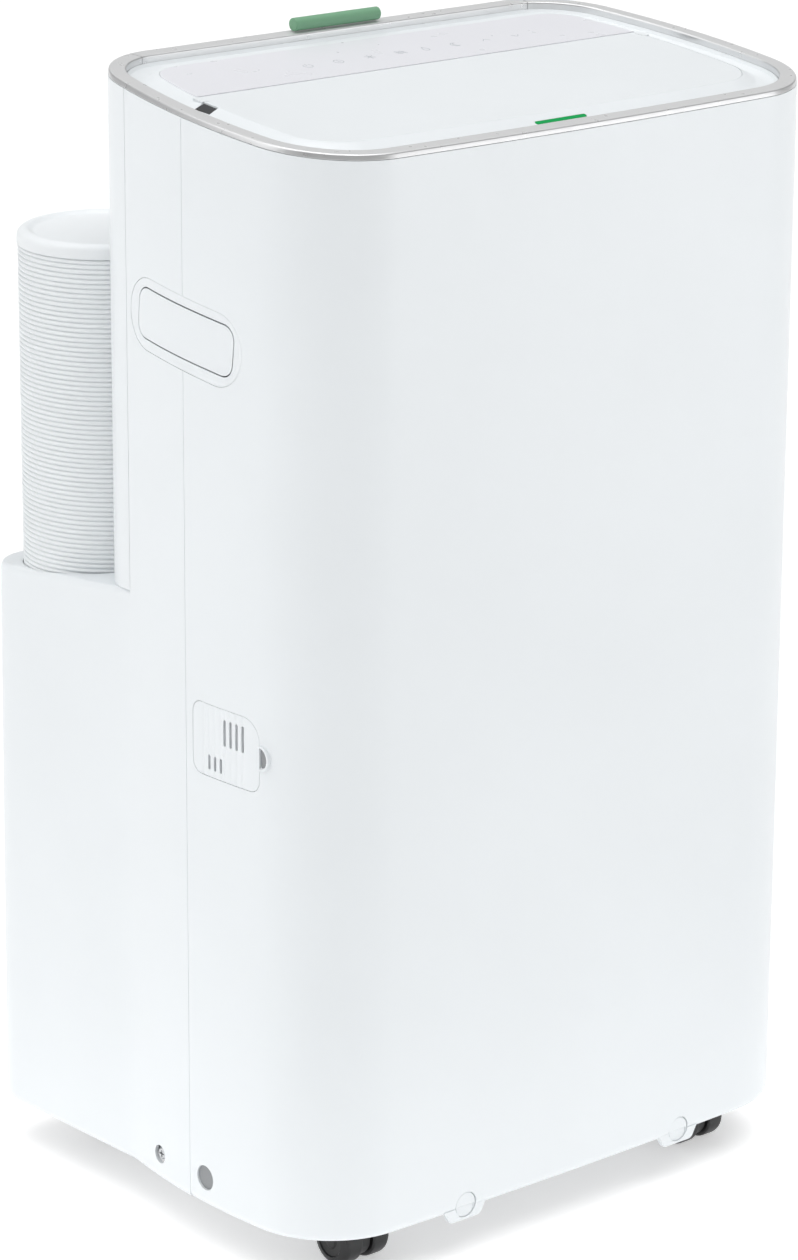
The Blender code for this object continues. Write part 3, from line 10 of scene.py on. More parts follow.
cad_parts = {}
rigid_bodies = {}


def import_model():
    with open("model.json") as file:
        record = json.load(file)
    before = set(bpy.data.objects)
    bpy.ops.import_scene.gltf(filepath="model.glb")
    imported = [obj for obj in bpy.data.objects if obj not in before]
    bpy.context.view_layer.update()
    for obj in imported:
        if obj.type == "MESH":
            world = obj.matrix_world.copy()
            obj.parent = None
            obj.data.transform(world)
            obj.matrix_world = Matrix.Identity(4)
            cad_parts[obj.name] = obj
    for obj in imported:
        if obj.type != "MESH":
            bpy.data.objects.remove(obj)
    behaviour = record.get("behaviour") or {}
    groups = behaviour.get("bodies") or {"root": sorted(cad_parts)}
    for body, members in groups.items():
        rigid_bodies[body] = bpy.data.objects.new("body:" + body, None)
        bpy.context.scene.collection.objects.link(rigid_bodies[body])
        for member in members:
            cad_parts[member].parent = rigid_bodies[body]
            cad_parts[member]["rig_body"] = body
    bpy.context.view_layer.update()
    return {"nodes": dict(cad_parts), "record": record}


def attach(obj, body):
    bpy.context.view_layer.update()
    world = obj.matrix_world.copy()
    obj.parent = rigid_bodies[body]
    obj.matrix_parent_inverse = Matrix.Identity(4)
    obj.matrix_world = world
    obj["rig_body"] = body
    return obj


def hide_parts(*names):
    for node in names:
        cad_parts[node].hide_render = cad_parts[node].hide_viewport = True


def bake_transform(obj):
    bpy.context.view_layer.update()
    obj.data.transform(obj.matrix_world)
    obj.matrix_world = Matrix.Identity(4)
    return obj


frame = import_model()

# Sizes of the CAD model
BODY_W, FOOT_D = 0.490, 0.4072
FRONT_Y = -FOOT_D / 2
SIDE_X = BODY_W / 2
TOP_Z, TOP_SLOPE, BODY_MID_Y = 0.8318, 0.105, -0.0623
EDGE_Z, WALL, GAP = 0.038, 0.003, 0.0003
BOW_ANGLE = 1.87
CORNER_R, CORNER_ANGLE = 0.0722, 84.6
SIDE_R, SIDE_ANGLE = 0.5278, 102.5
REAR_R, RIM_SPLIT = 0.0643, 166.2
SEAM_HALF = 0.00025
SHELL_SEAM_Y, PANEL_SEAM_Y = -0.0579, 0.0170
EXT_BLEND_R, EXT_CORNER_R, FOOT_FLARE = 0.100, 0.038, 0.0024
LEDGE_Z, LEDGE_SLOPE = 0.4652, -0.100
HOSE_X, HOSE_Y, HOSE_R = -0.1662, 0.1292, 0.0645
HOSE_LOW_Z, HOSE_TOP_Z, CAP_H = 0.4440, 0.7118, 0.0110
CHANNEL_R, CHANNEL_WALL, CHANNEL_TOP_Z = 0.0680, 0.0025, 0.8260
RIM_W, RIM_H = 0.0128, 0.0039
PAD_INSET, PAD_DROP, PAD_BOTTOM = 0.036, 0.0028, 0.0065
DIVIDER_Y = -0.0270
DECK_INNER, DECK_DROP, DECK_BOTTOM = 0.045, 0.0062, 0.013
APRON_SHIFT, APRON_START_Y, APRON_RUN = 0.0050, -0.120, 0.035
APRON_DROP, APRON_SLOPE = 0.00647, 0.474
LED_HALF, LED_Y, LED_D = 0.0238, -0.1705, 0.0029
HANDLE_Y, HANDLE_Z, HANDLE_TILT = -0.0555, 0.6790, math.atan(0.105)
HANDLE_L, HANDLE_H, HANDLE_CORNER = 0.132, 0.052, 0.0255
GRIP_L, GRIP_H, GRIP_CORNER = 0.109, 0.0355, 0.0100
GRIP_GAP, CUP_DEPTH = 0.0009, 0.048
COVER_Y, COVER_Z, COVER_W, COVER_H = -0.1015, 0.3930, 0.0705, 0.0525
NOTCH_R = 0.0080
SCREW_Y, SCREW_Z, SCREW_HOLE_R = -0.0178, 0.0570, 0.0070
SOCKET_Y, SOCKET_Z, SOCKET_R = -0.0760, 0.0592, 0.0094
CATCH_X, CATCH_Z, CATCH_R = 0.106, 0.0415, 0.0095
TAB_TOP_HALF, TAB_FOOT_HALF, TAB_FOOT_Z = 0.0200, 0.0145, 0.0300
CASTER_TRAIL, WHEEL_R, WHEEL_W, WHEEL_TRACK, PAN_Z = 0.012, 0.019, 0.0165, 0.0265, 0.052

# How far cuts run past the walls they open: along X at a side, and in height
HANDLE_REACH, GRIP_REACH = (0.20, 0.26), (0.225, 0.26)
COVER_REACH, SLOT_REACH = (0.235, 0.25), (0.23, 0.26)
UNDER_LEDGE_Z, OVER_LEDGE_Z, HOLLOW_Z, UNDER_TOP_Z, ABOVE_Z = 0.42, 0.50, 0.43, 0.75, 0.90


# Materials
class Shader:
    """Small builder for one procedural Principled material."""

    def __init__(self, name, roughness, metallic=0.0, **sockets):
        self.material = bpy.data.materials.new(name)
        self.material.use_nodes = True
        self.tree = self.material.node_tree
        self.surface = self.tree.nodes["Principled BSDF"]
        self.coordinates = self.node("ShaderNodeTexCoord").outputs["Object"]
        for socket, value in dict(Roughness=roughness, Metallic=metallic, **sockets).items():
            self.surface.inputs[socket.replace("_", " ")].default_value = value

    def node(self, kind, **properties):
        made = self.tree.nodes.new(kind)
        for key, value in properties.items():
            setattr(made, key, value)
        return made

    def link(self, source, target):
        self.tree.links.new(source, target)

    def texture(self, kind, scale, **properties):
        made = self.node(kind, **properties)
        made.inputs["Scale"].default_value = scale
        self.link(self.coordinates, made.inputs["Vector"])
        return made

    def noise(self, scale, detail=2.0):
        made = self.texture("ShaderNodeTexNoise", scale)
        made.inputs["Detail"].default_value = detail
        return made.outputs["Fac"]

    def waves(self, scale, direction):
        return self.texture("ShaderNodeTexWave", scale, bands_direction=direction).outputs["Fac"]

    def colours(self, factor, low, high, start=0.3, stop=0.7):
        ramp = self.node("ShaderNodeValToRGB")
        for element, place, colour in zip(ramp.color_ramp.elements, (start, stop), (low, high)):
            element.position = place
            element.color = (*colour, 1.0)
        self.link(factor, ramp.inputs["Fac"])
        self.link(ramp.outputs["Color"], self.surface.inputs["Base Color"])

    def spread(self, factor, socket, start, stop, low, high, **properties):
        """Drives a socket from low to high as the factor goes from start to stop."""
        mapped = self.node("ShaderNodeMapRange", **properties)
        ends = {"From Min": start, "From Max": stop, "To Min": low, "To Max": high}
        for end, value in ends.items():
            mapped.inputs[end].default_value = value
        self.link(factor, mapped.inputs["Value"])
        self.link(mapped.outputs["Result"], self.surface.inputs[socket])

    def roughness(self, factor, low, high):
        self.spread(factor, "Roughness", 0.3, 0.7, low, high)

    def bump(self, factor, depth):
        bump = self.node("ShaderNodeBump")
        bump.inputs["Distance"].default_value = depth
        self.link(factor, bump.inputs["Height"])
        self.link(bump.outputs["Normal"], self.surface.inputs["Normal"])


def tint(colour, factor):
    return tuple(min(1.0, channel * factor) for channel in colour)


def moulded(name, colour, roughness, grain=0.000012, change=0.012, **sockets):
    """Injection-moulded plastic: fine spark-eroded grain and a faint flow of shade."""
    shader = Shader(name, roughness, **sockets)
    shader.colours(shader.noise(6.0, 3.0), tint(colour, 1 - change), tint(colour, 1 + change))
    shader.roughness(shader.noise(55.0, 2.0), roughness - 0.03, roughness + 0.03)
    shader.bump(shader.noise(700.0, 1.0), grain)
    return shader.material


def satin_rim_facing_shade():
    """Painted shade by facing: brighter and less metallic on the faces that look up, so the walls render
    darker than the top.
    """
    shader = Shader("silver_rim_satin_facing_shade", 0.30, 0.35, Coat_Weight=0.35, Coat_Roughness=0.18)
    shader.colours(shader.noise(30.0), (0.700, 0.705, 0.710), (0.715, 0.720, 0.725))
    shader.roughness(shader.noise(120.0), 0.27, 0.34)
    # Painted shade: metallic falls from 1.0 to 0.25 as the normal turns up, darkening the rim's walls
    # against its top.
    facing = shader.node("ShaderNodeNewGeometry")
    parts = shader.node("ShaderNodeSeparateXYZ")
    shader.link(facing.outputs["Normal"], parts.inputs["Vector"])
    shader.spread(parts.outputs["Z"], "Metallic", 0.55, 0.90, 1.0, 0.25)
    return shader.material


def galvanised():
    shader = Shader("galvanised_steel_sheet", 0.38, 0.9)
    spangle = shader.texture("ShaderNodeTexVoronoi", 130.0).outputs["Color"]
    shader.colours(spangle, (0.50, 0.51, 0.53), (0.66, 0.67, 0.68), 0.1, 0.9)
    shader.roughness(spangle, 0.30, 0.46)
    return shader.material


def finned():
    shader = Shader("aluminium_fins_close", 0.34, 1.0)
    fins = shader.waves(150.0, "X")
    shader.colours(fins, (0.32, 0.33, 0.34), (0.80, 0.81, 0.82), 0.2, 0.6)
    shader.bump(fins, 0.0004)
    return shader.material


def bare_metal(name, low, high, grain, wear, polish):
    """Metal whose colour and polish change at two scales; grain and wear are (scale, detail)."""
    shader = Shader(name, sum(polish) / 2, 1.0)
    shader.colours(shader.noise(*grain), low, high)
    shader.roughness(shader.noise(*wear), *polish)
    return shader.material


def enamel():
    shader = Shader("black_paint_baked", 0.34, 0.1, Coat_Weight=0.3, Coat_Roughness=0.2)
    shader.colours(shader.noise(20.0, 3.0), (0.012, 0.012, 0.013), (0.024, 0.024, 0.026))
    shader.bump(shader.noise(420.0, 1.0), 0.00003)
    return shader.material


def woven_mesh():
    shader = Shader("filter_mesh_woven", 0.7)
    across, upright = shader.waves(260.0, "X"), shader.waves(260.0, "Z")
    weave = shader.node("ShaderNodeMath", operation="MAXIMUM")
    shader.link(across, weave.inputs[0])
    shader.link(upright, weave.inputs[1])
    shader.colours(weave.outputs["Value"], (0.03, 0.032, 0.034), (0.24, 0.25, 0.26), 0.35, 0.8)
    shader.bump(weave.outputs["Value"], 0.0003)
    return shader.material


def light_bar():
    green = (0.002, 0.300, 0.072)
    shader = Shader("status_light_lens", 0.45, Emission_Color=(*green, 1.0), Emission_Strength=0.12,
                    Specular_IOR_Level=0.12)
    shader.colours(shader.noise(240.0), tint(green, 0.94), tint(green, 1.06))
    shader.bump(shader.noise(900.0), 0.00001)
    return shader.material


WHITE = (0.790, 0.822, 0.842)
FINISHES = {
    "white_shell": moulded("white_shell_moulded", WHITE, 0.36, Coat_Weight=0.12, Coat_Roughness=0.25),
    "silver_rim": satin_rim_facing_shade(),
    "control_surface": moulded("control_surface_gloss", (0.790, 0.797, 0.838), 0.30, 0.0000005,
                               Coat_Weight=0.25, Coat_Roughness=0.12),
    "green_pull": moulded("green_pull_moulded", (0.175, 0.375, 0.225), 0.48, 0.00002, 0.05),
    "status_light": light_bar(),
    "hose_plastic": moulded("hose_plastic_blown", (0.800, 0.825, 0.840), 0.42, 0.00001),
    "dark_plastic": moulded("dark_plastic_moulded", (0.030, 0.031, 0.034), 0.50, 0.00003, 0.10),
    "grey_plastic": moulded("grey_plastic_moulded", (0.27, 0.28, 0.29), 0.55, 0.00003, 0.06),
    "filter_mesh": woven_mesh(),
    "galvanised_steel": galvanised(),
    "aluminium_fins": finned(),
    "copper_tube": bare_metal("copper_tube_drawn", (0.58, 0.27, 0.15), (0.80, 0.44, 0.27),
                              (38.0, 4.0), (90.0, 3.0), (0.22, 0.42)),
    "black_paint": enamel(),
    "caster_plastic": moulded("caster_plastic_moulded", (0.012, 0.012, 0.013), 0.38, 0.00002, 0.15),
    "rubber": moulded("rubber_moulded", (0.022, 0.022, 0.023), 0.85, 0.00005, 0.12),
    "screw_steel": bare_metal("screw_steel_plated", (0.42, 0.43, 0.44), (0.60, 0.61, 0.62),
                              (300.0, 3.0), (500.0, 2.0), (0.25, 0.42)),
    "icon_print": moulded("icon_print", (0.47, 0.49, 0.52), 0.45, 0.000004, 0.04),
}


# Levels and plan outlines
def smoothstep(t):
    t = min(1.0, max(0.0, t))
    return t * t * (3 - 2 * t)


def quarter_turn(steps, first=0):
    """Pairs (1 - cos, 1 - sin) along a quarter turn, for rounding an edge."""
    angles = [math.radians(90 * k / steps) for k in range(first, steps + 1)]
    return [(1 - math.cos(angle), 1 - math.sin(angle)) for angle in angles]


def arc_points(cx, cy, radius, first, last, steps=20):
    angles = [math.radians(first + (last - first) * k / steps) for k in range(steps + 1)]
    return [(cx + radius * math.cos(angle), cy + radius * math.sin(angle)) for angle in angles]


def top_z(y):
    return TOP_Z + TOP_SLOPE * (y - BODY_MID_Y)


def ledge_z(y):
    return LEDGE_Z + LEDGE_SLOPE * (y - HOSE_Y)


def level(z):
    return lambda y: z


def below_top(drop):
    return lambda y: top_z(y) - drop


def below_apron(drop):
    """Height under the sloping apron in front of the flap."""
    return lambda y: top_z(y) - APRON_DROP - APRON_SLOPE * (LED_Y - y) - drop


def with_apron(plan):
    """The plan with its front moved back, which leaves room for the apron."""
    return [(x, y + APRON_SHIFT * smoothstep((APRON_START_Y - y) / APRON_RUN)) for x, y in plan]


def below_ledge(drop):
    return lambda y: ledge_z(y) - drop


def upper_arcs():
    """Arcs of the right half of the plan: centre, radius, first and last heading."""
    bow, corner = math.sin(math.radians(BOW_ANGLE)), math.sin(math.radians(CORNER_ANGLE))
    bow_r = (SIDE_X - CORNER_R * (corner - bow) - SIDE_R * (1 - corner)) / bow
    arcs = []
    x, y, heading = 0.0, FRONT_Y, 0.0
    sections = ((bow_r, BOW_ANGLE), (CORNER_R, CORNER_ANGLE), (SIDE_R, SIDE_ANGLE), (REAR_R, 180.0))
    for radius, last in sections:
        first = math.radians(heading)
        cx, cy = x - radius * math.sin(first), y + radius * math.cos(first)
        arcs.append((cx, cy, radius, heading, last))
        end = math.radians(last)
        x, y, heading = cx + radius * math.sin(end), cy - radius * math.cos(end), last
    return arcs


ARCS = upper_arcs()
CORNER_ARC, SIDE_ARC = ARCS[1], ARCS[2]


def on_arc(arc, heading, inset):
    angle = math.radians(heading)
    reach = arc[2] - inset
    return arc[0] + reach * math.sin(angle), arc[1] - reach * math.cos(angle)


def at_y(y):
    """Station on the side, as a rule that gives the side arc's heading at an inset."""
    return lambda inset: math.degrees(math.acos((SIDE_ARC[1] - y) / (SIDE_R - inset)))


def at_heading(heading):
    return lambda inset: heading


FRONT, REAR = at_heading(0.0), at_heading(180.0)
STEP_ANGLE, STEP_LENGTH = 2.5, 0.008


def arc_steps(radius, turn):
    length = abs(radius) * math.radians(abs(turn))
    return max(1, math.ceil(abs(turn) / STEP_ANGLE), math.ceil(length / STEP_LENGTH))


def half_path(inset, start=FRONT, stop=REAR):
    """Right half of the upper plan between two stations, front to rear."""
    points = []
    for arc in ARCS:
        _, _, radius, first, last = arc
        if start(0.0) >= last or stop(0.0) <= first:
            continue
        steps = arc_steps(radius, min(last, stop(0.0)) - max(first, start(0.0)))
        a0 = start(inset) if start(0.0) > first else first
        a1 = stop(inset) if stop(0.0) < last else last
        for k in range(0 if not points else 1, steps + 1):
            points.append(on_arc(arc, a0 + (a1 - a0) * k / steps, inset))
    if stop(0.0) >= 180.0:
        points.append((0.0, points[-1][1]))
    return points


def lower_half_path(inset, start, flare=0.0):
    """Right half of the lower extension's plan, from a station on the side to the rear centre."""
    turn = at_y(PANEL_SEAM_Y + SEAM_HALF)
    a0, a1 = start(inset), turn(0.0)
    steps = arc_steps(SIDE_R, a1 - start(0.0))
    points = [on_arc(SIDE_ARC, a0 + (a1 - a0) * k / steps, inset) for k in range(steps + 1)]
    x, y, heading = *on_arc(SIDE_ARC, a1, inset), a1
    for radius, last in ((-EXT_BLEND_R, 90.0), (EXT_CORNER_R, 180.0)):
        first = math.radians(heading)
        reach = radius - inset
        cx, cy = x - reach * math.sin(first), y + reach * math.cos(first)
        steps = 2 * arc_steps(radius, last - heading)
        for k in range(1, steps + 1):
            angle = math.radians(heading + (last - heading) * k / steps)
            points.append((cx + reach * math.sin(angle), cy - reach * math.cos(angle)))
        x, y = points[-1]
        heading = last
        if radius < 0:
            y = -FRONT_Y - FOOT_FLARE - EXT_CORNER_R
            points.append((x, y))
    points.append((0.0, y))
    if not flare:
        return points
    return [(px + flare * min(1, max(0, (py - PANEL_SEAM_Y) / 0.03)) * (px > 0.001),
             py + flare * max(0, (py - PANEL_SEAM_Y) / (y - PANEL_SEAM_Y))) for px, py in points]


def both_sides(half):
    """Closed plan from its right half."""
    left = [(-x, y) for x, y in reversed(half) if x > 1e-6]
    return half + left


def through_front(half):
    return [(-x, y) for x, y in reversed(half[1:])] + half


def through_rear(half):
    return half + [(-x, y) for x, y in reversed(half[:-1])]


def side_point(y, inset):
    """Plan point below the outer side surface, near a given y."""
    heading = at_y(y)(0.0)
    if heading >= CORNER_ANGLE:
        return on_arc(SIDE_ARC, heading, inset)
    heading = math.degrees(math.acos((CORNER_ARC[1] - y) / CORNER_R))
    return on_arc(CORNER_ARC, heading, inset)


# Mesh helpers
def add_grid(bm, rows, close_rows, close_columns):
    """Quads between rows of points; open ends get a cap."""
    verts = [[bm.verts.new(p) for p in row] for row in rows]
    count, width = len(verts), len(verts[0])
    for i in range(count if close_rows else count - 1):
        for j in range(width if close_columns else width - 1):
            a, b = verts[i], verts[(i + 1) % count]
            k = (j + 1) % width
            bm.faces.new((a[j], a[k], b[k], b[j]))
    if not close_columns:
        bm.faces.new([row[0] for row in verts])
        bm.faces.new([row[-1] for row in reversed(verts)])
    if not close_rows:
        bm.faces.new(list(reversed(verts[0])))
        bm.faces.new(verts[-1])


def add_band(bm, path, profile):
    """Wall swept along an open plan path; profile lists (inset, height rule)."""
    rows = [[(x, y, height(y)) for x, y in path(inset)] for inset, height in profile]
    add_grid(bm, rows, True, False)


def add_loft(bm, rings):
    add_grid(bm, rings, False, True)


def ring_at(plan, height):
    return [(x, y, height(y)) for x, y in plan]


def add_prism(bm, plan, low, high):
    add_loft(bm, [ring_at(plan, low), ring_at(plan, high)])


def add_box(bm, low, high):
    corners = [(low[0], low[1]), (high[0], low[1]), (high[0], high[1]), (low[0], high[1])]
    add_prism(bm, corners, level(low[2]), level(high[2]))


def circle(radius, steps):
    return [(radius * math.cos(2 * math.pi * k / steps), radius * math.sin(2 * math.pi * k / steps))
            for k in range(steps)]


def add_turned(bm, profile, centre, axis=(0, 0, 1), steps=48, ring=False):
    """Turned solid, or a turned ring when its profile is closed; profile is (radius, height)."""
    place = Matrix.Translation(centre) @ Vector((0, 0, 1)).rotation_difference(
        Vector(axis)).to_matrix().to_4x4()
    rows = [[place @ Vector((x, y, h)) for x, y in circle(r, steps)] for r, h in profile]
    add_grid(bm, rows, ring, True)


def add_side_turned(bm, profile, x, y, z, steps=40):
    """The same turned solid at both sides, along X and outwards."""
    for side in (-1, 1):
        add_turned(bm, profile, (side * x, y, z), (side, 0, 0), steps)


def rounded_rectangle(width, height, radii, steps=8, runs=1):
    """Outline about its centre; radii go round from the corner at +u +v."""
    if not hasattr(radii, "__len__"):
        radii = (radii,) * 4
    points = []
    for quarter, (sx, sy) in enumerate(((1, 1), (-1, 1), (-1, -1), (1, -1))):
        radius = radii[quarter]
        cx, cy = sx * (width / 2 - radius), sy * (height / 2 - radius)
        arc = [(cx + radius * math.cos(math.pi / 2 * (quarter + k / steps)),
                cy + radius * math.sin(math.pi / 2 * (quarter + k / steps))) for k in range(steps + 1)]
        points += arc
        following = radii[(quarter + 1) % 4]
        nx, ny = ((-1, 1), (-1, -1), (1, -1), (1, 1))[quarter]
        end = (nx * (width / 2 - (following if quarter % 2 == 0 else 0)),
               ny * (height / 2 - (following if quarter % 2 else 0)))
        last = arc[-1]
        points += [(last[0] + (end[0] - last[0]) * k / runs, last[1] + (end[1] - last[1]) * k / runs)
                   for k in range(1, runs)]
    return points


def soften(corners, steps=5):
    """Closed outline with each corner (u, v, radius) rounded."""
    out = []
    count = len(corners)
    for i, (u, v, radius) in enumerate(corners):
        if not radius:
            out.append((u, v))
            continue
        ends = []
        for other in (corners[i - 1], corners[(i + 1) % count]):
            span = math.dist((u, v), other[:2])
            share = min(radius / span, 0.49)
            ends.append((u + (other[0] - u) * share, v + (other[1] - v) * share))
        for k in range(steps + 1):
            t = k / steps
            a, b, c = (1 - t) ** 2, 2 * t * (1 - t), t * t
            out.append((a * ends[0][0] + b * u + c * ends[1][0], a * ends[0][1] + b * v + c * ends[1][1]))
    return out


def add_side_prism(bm, side, centre, outline, reach, tilt=0.0):
    """Prism along X through a side wall; outline is (along Y, along Z) about centre."""
    rings = []
    for x in reach:
        rings.append([(side * x, centre[0] + u * math.cos(tilt) - v * math.sin(tilt),
                       centre[1] + u * math.sin(tilt) + v * math.cos(tilt)) for u, v in outline])
    add_loft(bm, rings)


def linked(name, data):
    obj = bpy.data.objects.new(name, data)
    bpy.context.scene.collection.objects.link(obj)
    return obj


def to_object(name, build):
    bm = bmesh.new()
    build(bm)
    bmesh.ops.recalc_face_normals(bm, faces=bm.faces)
    mesh = bpy.data.meshes.new(name)
    bm.to_mesh(mesh)
    bm.free()
    return linked(name, mesh)


def shaped(name, build, *operations):
    """Object whose mesh has the given (operation, builder) Booleans worked into it."""
    obj = to_object(name, build)
    tools = []
    for operation, tool_build in operations:
        tool = to_object(name + "_tool", tool_build)
        modifier = obj.modifiers.new("shape", "BOOLEAN")
        modifier.operation, modifier.solver, modifier.object = operation, "EXACT", tool
        tools.append(tool)
    if tools:
        bpy.context.view_layer.update()
        source = obj.evaluated_get(bpy.context.evaluated_depsgraph_get())
        worked = bpy.data.meshes.new_from_object(source)
        obj.modifiers.clear()
        obj.data = worked
        for tool in tools:
            bpy.data.objects.remove(tool)
    return obj


def piece(name, slot, stands_for, build, *operations, sharp=32, bevel=0.0, body="casing"):
    """Finished piece, shaded and with its material.

    It rides on the body of the node it stands for, or on the given body if it stands for none.
    """
    obj = shaped(name, build, *operations)
    obj.data.shade_smooth()
    obj.data.set_sharp_from_angle(angle=math.radians(sharp))
    if bevel:
        edge = obj.modifiers.new("edge", "BEVEL")
        edge.width, edge.segments, edge.limit_method = bevel, 2, "ANGLE"
        edge.angle_limit = math.radians(sharp)
        edge.harden_normals = False
    weighted = obj.modifiers.new("normals", "WEIGHTED_NORMAL")
    weighted.keep_sharp = True
    obj.data.materials.clear()
    obj.data.materials.append(FINISHES[slot])
    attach(obj, frame["nodes"][stands_for]["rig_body"] if stands_for else body)
    if stands_for:
        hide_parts(stands_for)
    return obj


# Outer shells
SHELL_TOP = below_top(RIM_H + GAP)
LIP_DEPTH = 0.0005
HOLE_GAP = 0.00012


def foot_profile():
    """Section of a shell's lower edge: a rounded outside and a short return inside."""
    rounded = [(0.0036 * out, level(EDGE_Z + 0.0065 * rise)) for rise, out in quarter_turn(6)]
    inside = [(WALL, level(EDGE_Z + 0.008)), (0.0060, level(EDGE_Z + 0.0035)), (0.0060, level(EDGE_Z))]
    return inside + rounded + [(0.0, level(EDGE_Z + 0.009))]


def seam_lip(bm, y):
    """Strip behind a seam between two shells, a little below the surface."""
    for side in (-1, 1):
        rows = []
        for inset, low in ((LIP_DEPTH, True), (WALL, True), (WALL, False), (LIP_DEPTH, False)):
            row = []
            for py in (y - SEAM_HALF, y + SEAM_HALF):
                x, real_y = side_point(py, inset)
                row.append((side * x, real_y, EDGE_Z + 0.004 if low else SHELL_TOP(y)))
            rows.append(row)
        add_grid(bm, rows, True, False)


def handle_outline(extra):
    return rounded_rectangle(HANDLE_L + 2 * extra, HANDLE_H + 2 * extra, HANDLE_CORNER + extra, 16)


def handle_cuts(bm):
    for side in (-1, 1):
        add_side_prism(bm, side, (HANDLE_Y, HANDLE_Z), handle_outline(HOLE_GAP), HANDLE_REACH,
                       HANDLE_TILT)


def catch_tabs(bm):
    for side in (-1, 1):
        x = side * CATCH_X
        root_z = EDGE_Z + 0.002
        outline = soften([
            (x - TAB_FOOT_HALF, TAB_FOOT_Z, 0.0030), (x + TAB_FOOT_HALF, TAB_FOOT_Z, 0.0030),
            (x + TAB_TOP_HALF, root_z, 0.0), (x - TAB_TOP_HALF, root_z, 0.0)])
        rings = []
        for shrink, depth in ((0.0007, 0.0016), (0.0, 0.0022), (0.0, 0.0050)):
            rings.append([(px + shrink * (x - px) / 0.02, FRONT_Y + depth, pz + shrink * (pz < EDGE_Z))
                          for px, pz in outline])
        add_loft(bm, rings)


def catch_holes(bm):
    for side in (-1, 1):
        add_turned(bm, [(CATCH_R + GAP, 0.0), (CATCH_R + GAP, 0.02)],
                   (side * CATCH_X, FRONT_Y - 0.002, CATCH_Z), (0, 1, 0), 40)


def lower_sockets(bm):
    add_side_turned(bm, [(SOCKET_R, 0.0), (SOCKET_R, 0.01)], SIDE_X - 0.0023, SOCKET_Y, SOCKET_Z)


COVER_RADII = (0.009, 0.016, 0.009, 0.009)
NOTCH_Y = COVER_Y - COVER_W / 2 - 0.0012
COVER_GAP = 0.0004


def cover_outline(extra):
    return rounded_rectangle(COVER_W + 2 * extra, COVER_H + 2 * extra,
                             [radius + extra for radius in COVER_RADII], 10)


def sensor_hole(bm):
    add_side_prism(bm, -1, (COVER_Y, COVER_Z), cover_outline(COVER_GAP), COVER_REACH)


def notch_boss(bm):
    add_turned(bm, [(NOTCH_R + 0.0012, 0.0), (NOTCH_R + 0.0012, 0.0050)],
               (-(SIDE_X - 0.0064), NOTCH_Y, COVER_Z), (-1, 0, 0), 40)


def notch_cut(bm):
    add_turned(bm, [(NOTCH_R * 0.72, 0.0), (NOTCH_R * 0.90, 0.0012), (NOTCH_R, 0.0040), (NOTCH_R, 0.012)],
               (-(SIDE_X - 0.0052), NOTCH_Y, COVER_Z), (-1, 0, 0), 40)


def front_wall(bm):
    add_band(bm, lambda inset: through_front(half_path(inset, stop=at_y(SHELL_SEAM_Y - SEAM_HALF))),
             foot_profile() + [(0.0, SHELL_TOP), (WALL, SHELL_TOP)])


piece("front_shell_skin", "white_shell", "front_shell", front_wall,
      ("UNION", catch_tabs), ("UNION", notch_boss), ("DIFFERENCE", handle_cuts),
      ("DIFFERENCE", catch_holes), ("DIFFERENCE", sensor_hole), ("DIFFERENCE", notch_cut),
      ("DIFFERENCE", lower_sockets))


piece("shell_seam_lips", "white_shell", None, lambda bm: seam_lip(bm, SHELL_SEAM_Y),
      ("DIFFERENCE", handle_cuts))

# Rear shell: lower extension with the hose ledge, and two strips up to the rim
REAR_START = at_y(SHELL_SEAM_Y + SEAM_HALF)
LEDGE_ROUND, LEDGE_ROUND_IN = 0.0055, 0.0030


def rear_outer(bm):
    rings = []
    for rise, out in quarter_turn(5):
        plan = both_sides(lower_half_path(0.0024 * out, REAR_START, FOOT_FLARE))
        rings.append(ring_at(plan, level(EDGE_Z + 0.0050 * rise)))
    plan = both_sides(lower_half_path(0.0, REAR_START, FOOT_FLARE))
    rings.append(ring_at(plan, level(EDGE_Z + 0.0075)))
    for inward, drop in quarter_turn(6):
        plan = both_sides(lower_half_path(LEDGE_ROUND_IN * inward, REAR_START))
        rings.append(ring_at(plan, below_ledge(LEDGE_ROUND * drop)))
    add_loft(bm, rings)


def side_strips(bm):
    plan = both_sides(half_path(0.0, REAR_START, at_y(PANEL_SEAM_Y - SEAM_HALF)))
    add_prism(bm, plan, level(EDGE_Z + 0.030), SHELL_TOP)


def lower_hollow(bm):
    start = at_y(SHELL_SEAM_Y - 0.01)
    foot = both_sides(lower_half_path(WALL, start, FOOT_FLARE))
    upper = both_sides(lower_half_path(WALL, start))
    add_loft(bm, [ring_at(foot, level(EDGE_Z - 0.01)), ring_at(foot, level(0.10)),
                  ring_at(upper, below_ledge(WALL))])


def hose_column(radius, low, high):
    plan = [(HOSE_X + x, HOSE_Y + y) for x, y in circle(radius, 96)]
    return lambda bm: add_prism(bm, plan, low, high)


def upper_hollow(bm):
    plan = both_sides(half_path(0.0062, at_y(SHELL_SEAM_Y - 0.01)))
    add_prism(bm, plan, level(HOLLOW_Z), level(ABOVE_Z))


def strip_hollow(bm):
    plan = both_sides(half_path(WALL, at_y(SHELL_SEAM_Y - 0.01), at_y(PANEL_SEAM_Y + 0.01)))
    add_prism(bm, plan, below_ledge(-0.0004), level(ABOVE_Z))


GRILLE_X, GRILLE_Z, GRILLE_W, GRILLE_H = 0.050, 0.250, 0.290, 0.300
DRAIN_X, DRAIN_Z, DRAIN_R = -0.165, 0.086, 0.0110
GLAND_X, GLAND_Z, GLAND_R = -0.165, 0.160, 0.011


